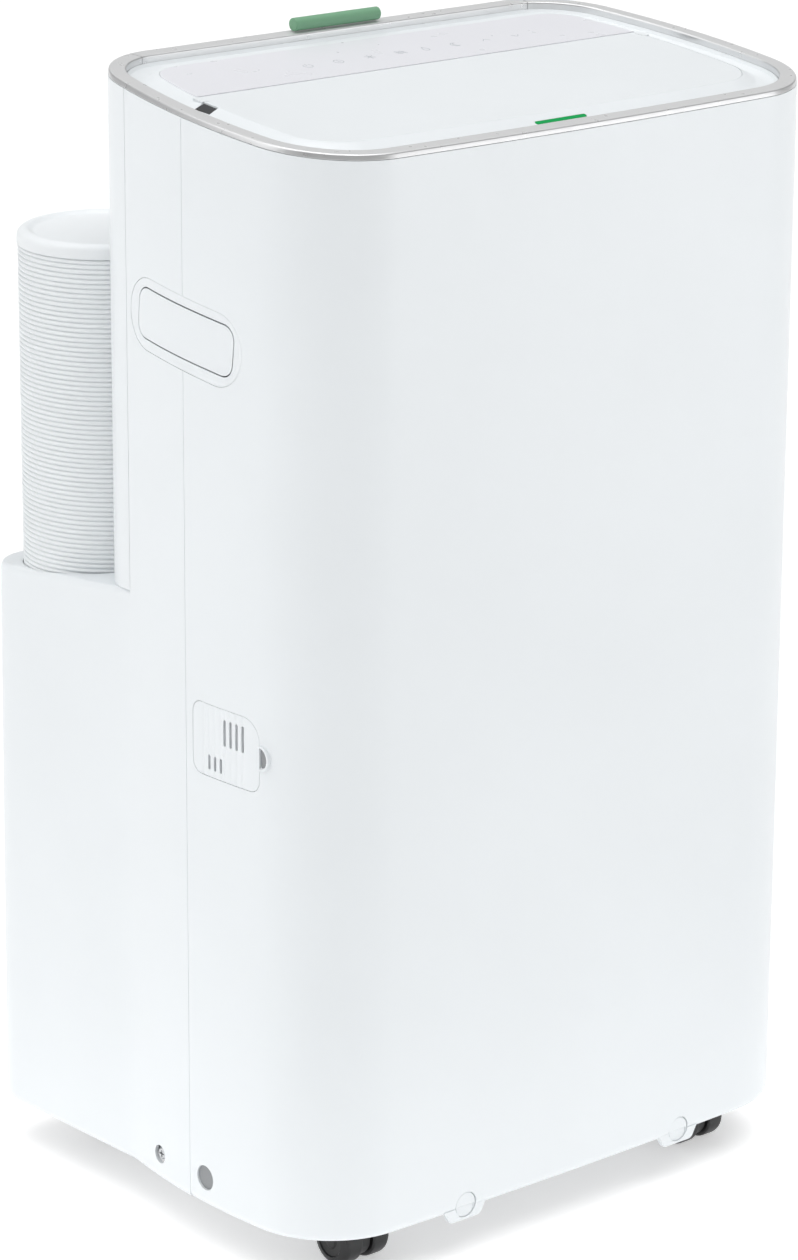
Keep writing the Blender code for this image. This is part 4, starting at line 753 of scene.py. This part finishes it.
def rear_openings(bm):
    low = (GRILLE_X - GRILLE_W / 2, 0.18, GRILLE_Z - GRILLE_H / 2)
    add_box(bm, low, (GRILLE_X + GRILLE_W / 2, 0.22, GRILLE_Z + GRILLE_H / 2))
    for x, z, r in ((DRAIN_X, DRAIN_Z, DRAIN_R), (GLAND_X, GLAND_Z, GLAND_R)):
        add_turned(bm, [(r, 0), (r, 0.05)], (x, 0.175, z), (0, 1, 0), 40)
    hose_column(HOSE_R + 0.0006, level(UNDER_LEDGE_Z), level(OVER_LEDGE_Z))(bm)
    add_side_turned(bm, [(SCREW_HOLE_R, 0), (SCREW_HOLE_R, 0.04)], SIDE_X - 0.020, SCREW_Y, SCREW_Z)


piece("rear_shell_skin", "white_shell", "rear_shell", rear_outer,
      ("UNION", side_strips), ("DIFFERENCE", lower_hollow), ("DIFFERENCE", upper_hollow),
      ("DIFFERENCE", strip_hollow), ("DIFFERENCE", handle_cuts), ("DIFFERENCE", rear_openings))

# Upper rear panel with its intake slots and the recess beside the hose
SLOT_ROWS, SLOT_PITCH, SLOT_H, SLOT_LOW_Z = 11, 0.0285, 0.0160, 0.492
SLOT_COLUMNS = ((-0.1100, -0.0050), (0.0050, 0.1520))
PANEL_WALL = 0.0025


def intake_slots(bm):
    for row in range(SLOT_ROWS):
        z = SLOT_LOW_Z + row * SLOT_PITCH
        for x0, x1 in SLOT_COLUMNS:
            outline = rounded_rectangle(x1 - x0, SLOT_H, 0.004, 5)
            add_loft(bm, [[((x0 + x1) / 2 + u, y, z + SLOT_H / 2 + v) for u, v in outline]
                          for y in (0.06, 0.09)])


def rear_wall(bm):
    start = at_y(PANEL_SEAM_Y + SEAM_HALF)
    foot = below_ledge(-GAP)
    add_band(bm, lambda inset: through_rear(half_path(inset, start)),
             [(0.0, foot), (0.0, SHELL_TOP), (PANEL_WALL, SHELL_TOP), (PANEL_WALL, foot)])


def channel_column(bm):
    hose_column(CHANNEL_R + CHANNEL_WALL, below_ledge(-2 * GAP), below_top(DECK_BOTTOM + GAP))(bm)


def channel_piece(bm):
    """Part of the recess's wall that lies inside the body."""
    kept = shaped("channel", channel_column, ("INTERSECT", lambda b: add_prism(
        b, both_sides(half_path(0.0012)), level(UNDER_LEDGE_Z), level(ABOVE_Z))))
    bm.from_mesh(kept.data)
    bpy.data.objects.remove(kept)


hose_recess = hose_column(CHANNEL_R, level(UNDER_LEDGE_Z), level(CHANNEL_TOP_Z))
piece("upper_rear_panel_skin", "white_shell", "upper_rear_panel", rear_wall,
      ("UNION", channel_piece), ("DIFFERENCE", hose_recess), ("DIFFERENCE", intake_slots))

# Top: rim, deck, control panel and outlet flap
RIM_CORNERS = [(0.0, RIM_H, 0.0005), (0.0009, 0.0, 0.0013), (RIM_W, 0.0, 0.0015), (RIM_W, 0.0100, 0.0),
               (RIM_W - 0.0025, 0.0100, 0.0), (RIM_W - 0.0025, RIM_H, 0.0)]
REAR_RIM_CORNERS = RIM_CORNERS[:3] + [(RIM_W, 0.0060, 0.0), (RIM_W - 0.0025, 0.0060, 0.0),
                                      (RIM_W - 0.0025, RIM_H, 0.0)]


def rim_profile(corners):
    return [(inset, below_top(drop)) for inset, drop in soften(corners, 6)]


piece("top_rim_skin", "silver_rim", "top_rim", lambda bm: add_band(
    bm, lambda inset: through_front(half_path(inset, stop=at_heading(RIM_SPLIT - 0.25))),
    rim_profile(RIM_CORNERS)))


# Deck sections, each with its inset, its drop and its share of the apron's shift
DECK_TOP = [(RIM_W + GAP, 0.0052, 0.0), (0.0150, 0.0074, 0.0), (0.0180, 0.0080, 0.0),
            (0.0215, 0.0080, 0.0), (0.0235, 0.0080, 0.6), (0.0252, 0.0077, 1.0),
            (0.0272, 0.0069, 1.0), (0.0310, 0.0051, 1.0), (0.0340, 0.0037, 1.0),
            (0.0350, 0.0033, 1.0), (0.0358, 0.00315, 1.0)]
DECK_UNDER = [(0.0358, DECK_DROP + 0.0006, 1.0), (DECK_INNER, DECK_DROP + 0.0006, 1.0),
              (DECK_INNER, DECK_BOTTOM, 1.0), (RIM_W + GAP, DECK_BOTTOM, 0.0)]


def deck_body(bm):
    rows = []
    for inset, drop, share in DECK_TOP + DECK_UNDER:
        plan = both_sides(half_path(inset))
        shifted = with_apron(plan)
        blended = [(x, y + (moved - y) * share) for (x, y), (_, moved) in zip(plan, shifted)]
        rows.append(ring_at(blended, below_top(drop)))
    add_grid(bm, rows, True, True)


def add_side_boxes(bm, x0, x1, low, high):
    """The same box at both sides; low and high are (y, z)."""
    for side in (-1, 1):
        low_x, high_x = sorted((side * x0, side * x1))
        add_box(bm, (low_x, *low), (high_x, *high))


PIVOT_R, PIVOT_X0, PIVOT_X1 = 0.0010, 0.1990, 0.2080
BEARING_X0, BEARING_X1, BEARING_Y0, BEARING_Y1 = 0.2033, 0.2098, -0.0378, -0.0273
SIDE_NOTCH_X0, SIDE_NOTCH_X1, SIDE_NOTCH_Y = 0.2080, 0.2165, -0.0540
CLEARANCE_X0, CLEARANCE_X1 = 0.1955, 0.2032
FLAP_AXIS_Y = DIVIDER_Y - 0.0056
FLAP_AXIS_Z = top_z(FLAP_AXIS_Y) - PAD_DROP - 0.0015


def pivot_bearings(bm):
    for side in (-1, 1):
        low_x, high_x = sorted((side * BEARING_X0, side * BEARING_X1))
        plan = [(low_x, BEARING_Y0), (high_x, BEARING_Y0), (high_x, BEARING_Y1), (low_x, BEARING_Y1)]
        add_prism(bm, plan, below_top(0.0100), below_top(PAD_DROP + 0.0001))


def bearing_holes(bm):
    add_side_turned(bm, [(PIVOT_R + 0.0002, 0.0), (PIVOT_R + 0.0002, 0.0100)],
                    PIVOT_X0, FLAP_AXIS_Y, FLAP_AXIS_Z, 32)


def side_notches(bm):
    add_side_boxes(bm, SIDE_NOTCH_X0, SIDE_NOTCH_X1, (SIDE_NOTCH_Y, UNDER_TOP_Z), (BEARING_Y0, ABOVE_Z))


def flap_clearances(bm):
    add_side_boxes(bm, CLEARANCE_X0, CLEARANCE_X1, (-0.0400, UNDER_TOP_Z), (-0.0266, ABOVE_Z))


def led_outline(extra):
    return rounded_rectangle(2 * (LED_HALF + extra), LED_D + 2 * extra, LED_D / 2 + extra * 0.99, 8)


def led_slot(bm):
    plan = [(u, LED_Y + v) for u, v in led_outline(0.00012)]
    add_prism(bm, plan, below_apron(0.0035), level(ABOVE_Z))


piece("top_deck_skin", "white_shell", "top_deck", deck_body,
      ("UNION", pivot_bearings), ("DIFFERENCE", bearing_holes), ("DIFFERENCE", side_notches),
      ("DIFFERENCE", flap_clearances), ("DIFFERENCE", led_slot))


def light_body(bm):
    rings = []
    for shrink, drop in ((0.0, 0.0030), (0.0, 0.0003), (0.0001, 0.0), (0.0004, -0.00015)):
        plan = [(u, LED_Y + v) for u, v in led_outline(-shrink)]
        rings.append(ring_at(plan, below_apron(drop)))
    add_loft(bm, rings)


piece("status_light_lens", "status_light", "status_light_bar", light_body, sharp=50)

ROLL = 0.0009


def pad_rings(start, stop, lower=0.0):
    """Rings of a plate whose outline edge rolls over into its side wall."""
    sections = [(PAD_INSET, PAD_BOTTOM), (PAD_INSET, PAD_DROP + lower + ROLL)]
    sections += [(PAD_INSET + ROLL * inward, PAD_DROP + lower + ROLL * drop)
                 for inward, drop in quarter_turn(4, 1)]
    return [ring_at(with_apron(both_sides(half_path(inset, start, stop))), below_top(drop))
            for inset, drop in sections]


piece("control_panel_skin", "control_surface", "control_panel", lambda bm: add_loft(
    bm, pad_rings(at_y(DIVIDER_Y + SEAM_HALF), REAR, -0.0003)))


def flap_corner_cuts(bm):
    add_side_boxes(bm, BEARING_X0 - 0.0002, 0.23, (BEARING_Y0 - 0.0002, UNDER_TOP_Z),
                   (DIVIDER_Y + 0.002, ABOVE_Z))


def flap_pivots(bm):
    add_side_turned(bm, [(PIVOT_R - 0.0003, 0), (PIVOT_R, 0.0003), (PIVOT_R, PIVOT_X1 - PIVOT_X0)],
                    PIVOT_X0, FLAP_AXIS_Y, FLAP_AXIS_Z, 32)


piece("louvre_flap_skin", "white_shell", "louvre_flap", lambda bm: add_loft(
    bm, pad_rings(FRONT, at_y(DIVIDER_Y - SEAM_HALF / 2), 0.0002)),
    ("DIFFERENCE", flap_corner_cuts), ("UNION", flap_pivots))


def notch_shade_floors(bm):
    """Dark floor in each side notch, a little under the deck's slope: painted shade in the notch."""
    for side in (-1, 1):
        rings = []
        x0, x1 = SIDE_NOTCH_X0 + 0.0002, SIDE_NOTCH_X1 - 0.0002
        y0, y1 = SIDE_NOTCH_Y + 0.0002, BEARING_Y0 - 0.0002
        for inner, outer in ((0.0118, 0.0118), (0.0043, 0.0070)):
            corners = ((x0, y0, inner), (x1, y0, outer), (x1, y1, outer), (x0, y1, inner))
            rings.append([(side * x, y, top_z(y) - drop) for x, y, drop in corners])
        add_loft(bm, rings)


# Painted shade: dark floors that darken the pivot notches.
piece("notch_shade_floors", "dark_plastic", None, notch_shade_floors)

# Generic symbols on the control panel
ICON_Y, ICON_R, STROKE = 0.0023, 0.0042, 0.00065
ICON_PLACES = (-0.083, -0.055, -0.026, 0.003, 0.026, 0.055, 0.084, 0.114)


def star_strokes(radius):
    return [[(-radius * math.cos(a), -radius * math.sin(a)), (radius * math.cos(a), radius * math.sin(a))]
            for a in (math.radians(30 + 60 * k) for k in range(3))]


def icon_strokes():
    """Strokes of each symbol: on, timer, cold, air, drop, night, up, down."""
    r = ICON_R
    wave = [[(-r + 2 * r * k / 12, v + 0.25 * r * math.sin(k)) for k in range(13)]
            for v in (-0.5 * r, 0.0, 0.5 * r)]
    return [
        [arc_points(0, 0, r * 0.85, 125, 415), [(0, r * 0.3), (0, r * 1.05)]],
        [arc_points(0, 0, r * 0.9, 0, 360), [(0, r * 0.5), (0, 0), (r * 0.4, -r * 0.2)]],
        star_strokes(r),
        wave,
        [[(0, r), (r * 0.55, -r * 0.1)] + arc_points(0, -r * 0.35, r * 0.6, 20, -200, 14) + [(0, r)]],
        [arc_points(0, 0, r * 0.9, 60, 300), arc_points(r * 0.38, 0, r * 0.78, 275, 85, 14)],
        [[(-r * 0.8, -r * 0.4), (0, r * 0.5), (r * 0.8, -r * 0.4)]],
        [[(-r * 0.8, r * 0.4), (0, -r * 0.5), (r * 0.8, r * 0.4)]],
    ]


def add_stroke(bm, centre, points):
    """Flat ribbon along a line, lying on the control panel."""
    left, right = [], []
    for i, (x, y) in enumerate(points):
        ax, ay = points[max(0, i - 1)]
        bx, by = points[min(len(points) - 1, i + 1)]
        span = math.hypot(bx - ax, by - ay)
        nx, ny = -(by - ay) / span * STROKE / 2, (bx - ax) / span * STROKE / 2
        left.append((centre[0] + x + nx, centre[1] + y + ny))
        right.append((centre[0] + x - nx, centre[1] + y - ny))
    rows = [[(x, y, top_z(y) - PAD_DROP + 0.0003 + lift) for x, y in line]
            for line, lift in ((left, -0.0002), (right, -0.0002), (right, 0.00006), (left, 0.00006))]
    add_grid(bm, rows, True, False)


def icons(bm):
    for x, strokes in zip(ICON_PLACES, icon_strokes()):
        for points in strokes:
            add_stroke(bm, (x, ICON_Y), points)


piece("control_icons", "icon_print", None, icons)

# Filter cassette: rim's rear part, frame, and the pull
FILTER_HALF, FILTER_Y0, FILTER_Y1, FILTER_BORDER = 0.1200, 0.0683, 0.0735, 0.012
FILTER_LOW_Z, FILTER_HIGH_Z = 0.485, 0.800


def filter_bars(bm):
    add_box(bm, (-FILTER_HALF, FILTER_Y0, FILTER_LOW_Z),
            (FILTER_HALF, FILTER_Y1, top_z(FILTER_Y0) - 0.0020))


def filter_windows(bm):
    width = (2 * FILTER_HALF - 4 * FILTER_BORDER) / 3
    height = (FILTER_HIGH_Z - FILTER_LOW_Z - 5 * FILTER_BORDER) / 4
    for column in range(3):
        x = -FILTER_HALF + FILTER_BORDER + column * (width + FILTER_BORDER) + width / 2
        for row in range(4):
            z = FILTER_LOW_Z + FILTER_BORDER + row * (height + FILTER_BORDER) + height / 2
            outline = rounded_rectangle(width, height, 0.004, 5)
            add_loft(bm, [[(x + u, y, z + v) for u, v in outline] for y in (0.05, 0.09)])


piece("filter_frame_skin", "silver_rim", "filter_frame", lambda bm: add_band(
    bm, lambda inset: through_rear(half_path(inset, at_heading(RIM_SPLIT + 0.25))),
    rim_profile(REAR_RIM_CORNERS)), ("UNION", filter_bars), ("DIFFERENCE", filter_windows))

PULL_R, PULL_HALF, PULL_Y, PULL_ROUND = 0.0048, 0.0400, 0.0715, 0.0009


def pull_body(bm):
    half = [(PULL_R, 0.0), (PULL_R, PULL_HALF - 0.0012)]
    half += [(PULL_R - PULL_ROUND * inward, PULL_HALF - PULL_ROUND * back)
             for inward, back in quarter_turn(5, 1)]
    half.append((PULL_R - 0.0016, PULL_HALF))
    profile = [(r, -h) for r, h in reversed(half)] + half[1:]
    add_turned(bm, profile, (0, PULL_Y, top_z(PULL_Y) + PULL_R + 0.0008), (1, 0, 0), 48)


piece("filter_pull_skin", "green_pull", "filter_pull", pull_body)

# Side handles
DISH_W = 0.0052


def dish_depth(u):
    """The surround's dish is deepest at its front end and runs out to the rear."""
    return 0.0003 + 0.0017 * smoothstep((0.034 - u) / 0.090)


def handle_ring(side, outline, depth):
    """Ring on the side surface; depth is a rule (u) giving the inset, or a fixed x."""
    ring = []
    for u, v in outline:
        y = HANDLE_Y + u * math.cos(HANDLE_TILT) - v * math.sin(HANDLE_TILT)
        z = HANDLE_Z + u * math.sin(HANDLE_TILT) + v * math.cos(HANDLE_TILT)
        if callable(depth):
            x, y = side_point(y, depth(u))
        else:
            x = depth
        ring.append((side * x, y, z))
    return ring


RUNS = 12


def handle_surround(side):
    """Flange with a dish and a thin lip round the grip, and the hollow cup behind it."""
    def outer(shrink):
        size = HANDLE_L - 2 * shrink, HANDLE_H - 2 * shrink
        return rounded_rectangle(*size, HANDLE_CORNER - shrink, 14, RUNS)

    def hole(extra):
        return rounded_rectangle(GRIP_L + 2 * extra, GRIP_H + 2 * extra, GRIP_CORNER + extra, 14, RUNS)

    def dished(depth, share=1.0):
        return lambda u: depth + dish_depth(u) * share

    cup, hollow, back = outer(0.0020), outer(0.0038), SIDE_X - CUP_DEPTH
    sections = [(cup, back), (cup, 0.2360), (outer(0.0), dished(0.0070, 0.0)),
                (outer(0.0), dished(0.0006, 0.0)), (outer(0.00025), dished(0.00015, 0.0))]
    sections += [(outer(0.0006 + DISH_W * k / 8), dished(0.00012, smoothstep(k / 8)))
                 for k in range(1, 9)]
    sections += [(hole(GRIP_GAP + 0.0009), dished(0.00012)), (hole(GRIP_GAP + 0.0003), dished(0.0002)),
                 (hole(GRIP_GAP), dished(0.0007)), (hollow, dished(0.0011)),
                 (hollow, back + 0.0060), (outer(0.0068), back + 0.0022)]
    rings = [handle_ring(side, outline, depth) for outline, depth in sections]
    return lambda bm: add_loft(bm, rings)


def grip_flap(side):
    """Curved plate that follows the dish, and the outline it is trimmed to."""
    def plate(bm):
        us = [(-0.5 + k / 40) * (GRIP_L + 0.004) for k in range(41)]
        half = GRIP_H / 2 + 0.002
        rows = []
        for v, back in ((-half, False), (half, False), (half, True), (-half, True)):
            rows.append(handle_ring(side, [(u, v) for u in us],
                                    (lambda u: 0.0042) if back else (lambda u: dish_depth(u) + 0.0003)))
        add_grid(bm, rows, True, False)

    def outline(bm):
        grip = rounded_rectangle(GRIP_L, GRIP_H, GRIP_CORNER, 14)
        add_side_prism(bm, side, (HANDLE_Y, HANDLE_Z), grip, GRIP_REACH, HANDLE_TILT)
    return plate, outline


for handle_side, handle_label in ((-1, "left"), (1, "right")):
    piece(f"handle_surround_{handle_label}", "white_shell", f"handle_cup_{handle_label}",
          handle_surround(handle_side))
    grip_plate, grip_outline = grip_flap(handle_side)
    piece(f"handle_grip_{handle_label}", "white_shell", f"handle_flap_{handle_label}", grip_plate,
          ("INTERSECT", grip_outline), bevel=0.0007)

# Sensor cover: fine upright grooves, open slots in some of them
SLOT_STEP = 0.0063
UPPER_SLOTS = [-0.1013 - k * SLOT_STEP for k in range(4)]
LOWER_SLOTS = [-0.0845 - k * SLOT_STEP for k in range(3)]
GROOVES = UPPER_SLOTS + LOWER_SLOTS + [-0.0782]


def groove_depth(y):
    return sum(0.00030 * smoothstep(1 - abs(y - g) / 0.0017) for g in GROOVES)


def cover_plate(bm):
    low_y, high_y, step = COVER_Y - COVER_W / 2 - 0.003, COVER_Y + COVER_W / 2 + 0.003, 0.00035
    ys = [low_y + step * k for k in range(round((high_y - low_y) / step) + 1)]
    rows = []
    for back, rise in ((0, -0.04), (1, -0.04), (1, 0.04), (0, 0.04)):
        row = []
        for y in ys:
            x, real_y = side_point(y, 0.0026 if back else 0.00012 + groove_depth(y))
            row.append((-x, real_y, COVER_Z + rise))
        rows.append(row)
    add_grid(bm, rows, True, False)


def cover_shape(bm):
    add_side_prism(bm, -1, (COVER_Y, COVER_Z), cover_outline(0.0), COVER_REACH)


def cover_slots(bm):
    for places, low_z, high_z in ((UPPER_SLOTS, COVER_Z - 0.0005, COVER_Z + 0.0190),
                                  (LOWER_SLOTS, COVER_Z - 0.0215, COVER_Z - 0.0105)):
        for y in places:
            outline = rounded_rectangle(0.0026, high_z - low_z, 0.00125, 5)
            add_side_prism(bm, -1, (y, (low_z + high_z) / 2), outline, SLOT_REACH)


piece("sensor_cover_skin", "white_shell", "sensor_cover", cover_plate,
      ("INTERSECT", cover_shape), ("DIFFERENCE", cover_slots))


def slot_shade_sheet(bm):
    """Dark sheet behind the open slots: painted shade that makes the slots read dark."""
    ys = [COVER_Y - 0.030 + 0.006 * k for k in range(11)]
    rows = []
    for inset, z in ((0.0028, COVER_Z - 0.0235), (0.0033, COVER_Z - 0.0235),
                     (0.0033, COVER_Z + 0.0215), (0.0028, COVER_Z + 0.0215)):
        rows.append([(-x, y, z) for x, y in (side_point(y, inset) for y in ys)])
    add_grid(bm, rows, True, False)


# Painted shade: a dark sheet set behind the cover's slots.
piece("slot_shade_sheet", "dark_plastic", None, slot_shade_sheet,
      body=frame["nodes"]["sensor_cover"]["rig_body"])


# Painted shade: a grey floor set into the cover's finger notch to darken the recess.
def notch_floor(bm):
    surface = side_point(NOTCH_Y, 0.0)[0]
    outline = [(u, v) for u, v in circle(NOTCH_R * 0.95, 64) if u < 0.0002]
    outline.sort(key=lambda point: point[1])
    add_side_prism(bm, -1, (NOTCH_Y, COVER_Z), outline, (surface - 0.0030, surface - 0.0013))


piece("cover_notch_shade", "grey_plastic", None, notch_floor)


# Painted shade: grey discs set into the blind sockets to darken them.
def socket_shade_floors(bm):
    add_side_turned(bm, [(SOCKET_R - 0.0002, 0.0), (SOCKET_R - 0.0002, 0.0015)],
                    SIDE_X - 0.0034, SOCKET_Y, SOCKET_Z)


piece("socket_shade_floors", "grey_plastic", None, socket_shade_floors)


# Catches and screws
def catch_disc(side):
    """Disc whose lower half is set back, with a sloping step across the middle."""
    x, y = side * CATCH_X, FRONT_Y + 0.0016

    def build(bm):
        profile = [(CATCH_R - 0.0012, 0.0), (CATCH_R - 0.0006, 0.00015), (CATCH_R, 0.0008),
                   (CATCH_R, 0.0080)]
        add_turned(bm, profile, (x, y, CATCH_Z), (0, 1, 0), 48)

    def step(bm):
        section = [(y - 0.001, CATCH_Z - 0.02), (y + 0.0011, CATCH_Z - 0.02),
                   (y + 0.0011, CATCH_Z - 0.0012), (y - 0.001, CATCH_Z + 0.0012)]
        reach = CATCH_R - 0.0016
        add_loft(bm, [[(px, py, pz) for py, pz in section] for px in (x - reach, x + reach)])
    return build, step


for catch_side, catch_label in ((-1, "left"), (1, "right")):
    disc, disc_step = catch_disc(catch_side)
    piece(f"catch_disc_{catch_label}", "white_shell", f"front_catch_{catch_label}", disc,
          ("DIFFERENCE", disc_step))


# Casters
def rounded_pad_profile(edge, inner):
    """Half section of a wheel: rounded tread and a shallow dish with a hub in its face."""
    return [(0.0022, inner), (WHEEL_R - 0.0016, inner), (WHEEL_R - 0.0004, inner + 0.0008),
            (WHEEL_R, inner + 0.0022), (WHEEL_R, edge - 0.0050), (WHEEL_R - 0.0006, edge - 0.0030),
            (WHEEL_R - 0.0022, edge - 0.0012), (WHEEL_R - 0.0046, edge - 0.0003), (WHEEL_R - 0.0066, edge),
            (WHEEL_R - 0.0074, edge - 0.0010), (0.0062, edge - 0.0014), (0.0052, edge - 0.0004),
            (0.0030, edge)]


HOOD_ROUND = 0.0008


def caster_fork(x, y):
    axle_y = y - CASTER_TRAIL
    hood_r, inner_r = WHEEL_R + 0.0030, WHEEL_R + 0.0010
    hood_half = WHEEL_TRACK / 2 + WHEEL_W / 2 + 0.0015
    half_web = (WHEEL_TRACK - WHEEL_W) / 2 - 0.0015

    def hood(bm):
        outer = arc_points(0, 0, hood_r, 15, 165, 30)
        inner = arc_points(0, 0, inner_r, 165, 15, 30)
        rings = []
        for reach, shrink in ((-hood_half, HOOD_ROUND), (-hood_half + HOOD_ROUND, 0.0),
                              (hood_half - HOOD_ROUND, 0.0), (hood_half, HOOD_ROUND)):
            scale = 1 - shrink / hood_r
            rings.append([(x + reach, axle_y + u * scale, WHEEL_R + v * scale) for u, v in outer]
                         + [(x + reach, axle_y + u, WHEEL_R + v) for u, v in inner])
        add_loft(bm, rings)

    def core(bm):
        add_turned(bm, [(WHEEL_R - 0.0030, -half_web), (WHEEL_R - 0.0030, half_web)],
                   (x, axle_y, WHEEL_R), (1, 0, 0), 40)

    def rib(bm):
        add_box(bm, (x - half_web - 0.0003, axle_y - 0.0100, WHEEL_R + 0.0080),
                (x + half_web + 0.0003, y + 0.0060, PAN_Z - 0.0040))

    def stem(bm):
        add_turned(bm, [(0.0055, 0), (0.0055, 0.0187), (0.0047, 0.0195)],
                   (x, y, WHEEL_R + 0.0175), steps=32)

    def collar(bm):
        add_turned(bm, [(0.0100, 0), (0.0110, 0.0010), (0.0110, 0.0080)],
                   (x, y, PAN_Z - GAP - 0.0080), steps=40)

    def axle_hole(bm):
        add_turned(bm, [(0.0026, -0.05), (0.0026, 0.05)], (x, axle_y, WHEEL_R), (1, 0, 0), 20)
    joined = [("UNION", part) for part in (rib, core, stem, collar)]
    return hood, joined + [("DIFFERENCE", axle_hole)]


def caster_wheels(x, y):
    def build(bm):
        edge, inner = WHEEL_TRACK / 2 + WHEEL_W / 2, WHEEL_TRACK / 2 - WHEEL_W / 2
        half = rounded_pad_profile(edge, inner)
        profile = [(r, -reach) for r, reach in reversed(half)] + half
        add_turned(bm, profile, (x, y - CASTER_TRAIL, WHEEL_R), (1, 0, 0), 56)
    return build


CASTERS = {"front_left": (-0.168, -0.137), "front_right": (0.168, -0.137),
           "rear_left": (-0.156, 0.142), "rear_right": (0.156, 0.142)}
for caster_label, (caster_x, caster_y) in CASTERS.items():
    fork_hood, fork_steps = caster_fork(caster_x, caster_y)
    piece(f"caster_hood_{caster_label}", "caster_plastic", f"caster_fork_{caster_label}",
          fork_hood, *fork_steps)
    piece(f"caster_pair_{caster_label}", "caster_plastic", f"caster_wheels_{caster_label}",
          caster_wheels(caster_x, caster_y))

# Exhaust hose: pushed-together bellows and its end cap
RIBS, RIB_DEPTH, CAP_ROUND = 72, 0.0016, 0.0060
RIB_SHAPE = ((0.0, 1.0), (0.14, 0.42), (0.30, 0.08), (0.50, 0.0), (0.70, 0.08), (0.86, 0.42))


def hose_bellows(bm):
    low, high = HOSE_LOW_Z + GAP, HOSE_TOP_Z - CAP_H - GAP
    pitch = (high - low) / RIBS
    outside = []
    for rib in range(RIBS):
        for share, depth in RIB_SHAPE:
            outside.append((HOSE_R - RIB_DEPTH * depth, low + pitch * (rib + share)))
    outside.append((HOSE_R - RIB_DEPTH, high))
    inside = [(HOSE_R - 0.0038, high), (HOSE_R - 0.0038, low)]
    add_turned(bm, outside + inside, (HOSE_X, HOSE_Y, 0), steps=96, ring=True)


def hose():
    obj = to_object("exhaust_bellows", hose_bellows)
    obj.data.shade_smooth()
    obj.data.set_sharp_from_angle(angle=math.radians(70))
    obj.data.materials.append(FINISHES["hose_plastic"])
    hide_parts("exhaust_hose")
    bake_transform(obj)


hose()


def hose_cap(bm):
    low, high = HOSE_TOP_Z - CAP_H, HOSE_TOP_Z
    outer = HOSE_R + 0.0005
    profile = [(outer - 0.0040, low), (outer - 0.0003, low), (outer, low + 0.0004),
               (outer, high - CAP_ROUND)]
    profile += [(outer - CAP_ROUND * inward, high - CAP_ROUND * drop)
                for inward, drop in quarter_turn(8, 1)]
    profile += [(outer - 0.0075, high), (outer - 0.0090, high - 0.0006), (outer - 0.0105, high - 0.0020),
                (outer - 0.0130, high - 0.0026), (0.012, high - 0.0020)]
    add_turned(bm, profile, (HOSE_X, HOSE_Y, 0), steps=96)


piece("hose_cap_skin", "hose_plastic", "hose_end_cap", hose_cap, sharp=40)

# CAD pieces that stay, with their finishes
for row in frame["record"]["subparts"]:
    node = frame["nodes"][row["node"]]
    if not node.hide_render:
        node.data.materials.clear()
        node.data.materials.append(FINISHES[row["material_slot"]])

# Stage
FLOOR_HALF = 30
floor = to_object("studio_floor", lambda bm: add_box(
    bm, (-FLOOR_HALF, -FLOOR_HALF, -0.02), (FLOOR_HALF, FLOOR_HALF, 0.0)))
paper = Shader("studio_paper_painted_glow", 0.9, Emission_Color=(1.0, 1.0, 1.0, 1.0))
paper.colours(paper.noise(3.0), (0.955, 0.955, 0.955), (0.965, 0.965, 0.965))
# Painted light: the floor glows with strength 0.45 near the origin, fading to none between 0.20 m and 0.75
# m, to lift the shadow round the unit.
distance = paper.node("ShaderNodeVectorMath", operation="LENGTH")
paper.link(paper.coordinates, distance.inputs[0])
paper.spread(distance.outputs["Value"], "Emission Strength", 0.20, 0.75, 0.45, 0.0,
             interpolation_type="SMOOTHSTEP")
floor.data.materials.append(paper.material)

world = bpy.data.worlds.new("studio")
world.use_nodes = True
world.node_tree.nodes["Background"].inputs["Color"].default_value = (1.0, 1.0, 1.0, 1.0)
world.node_tree.nodes["Background"].inputs["Strength"].default_value = 0.42
bpy.context.scene.world = world


def softbox(name, place, aim, size, power):
    light = bpy.data.lights.new(name, "AREA")
    light.shape, light.size, light.size_y = "RECTANGLE", *size
    light.energy = power
    obj = linked(name, light)
    obj.location = place
    obj.rotation_euler = (Vector(aim) - Vector(place)).to_track_quat("-Z", "Y").to_euler()


def soft_sun(name, towards, strength, angle):
    light = bpy.data.lights.new(name, "SUN")
    light.energy, light.angle = strength, math.radians(angle)
    linked(name, light).rotation_euler = (-Vector(towards)).to_track_quat("-Z", "Y").to_euler()


softbox("front_softbox", (1.9, -2.3, 0.75), (0.0, 0.0, 0.45), (1.8, 1.5), 10)
soft_sun("left_sun", (-1.0, 0.55, 0.8), 0.80, 60)
soft_sun("top_sun", (0.0, -0.1, 1.0), 1.90, 70)

# Camera: place, focal length in mm, and the angles it looks along
CAMERA_PLACE, SENSOR_W, LENS = (-2.14075, -2.48170, 1.41911), 36.0, 132.145
CAMERA_YAW, CAMERA_PITCH, CAMERA_ROLL = 40.811, 17.195, 0.299

camera = linked("camera", bpy.data.cameras.new("camera"))
camera.data.sensor_width, camera.data.lens = SENSOR_W, LENS
place = Matrix.Translation(CAMERA_PLACE)
for angle, axis in ((-CAMERA_YAW, "Z"), (90 - CAMERA_PITCH, "X"), (CAMERA_ROLL, "Z")):
    place = place @ Matrix.Rotation(math.radians(angle), 4, axis)
camera.matrix_world = place
bpy.context.scene.camera = camera
bpy.context.scene.view_settings.view_transform = "Standard"
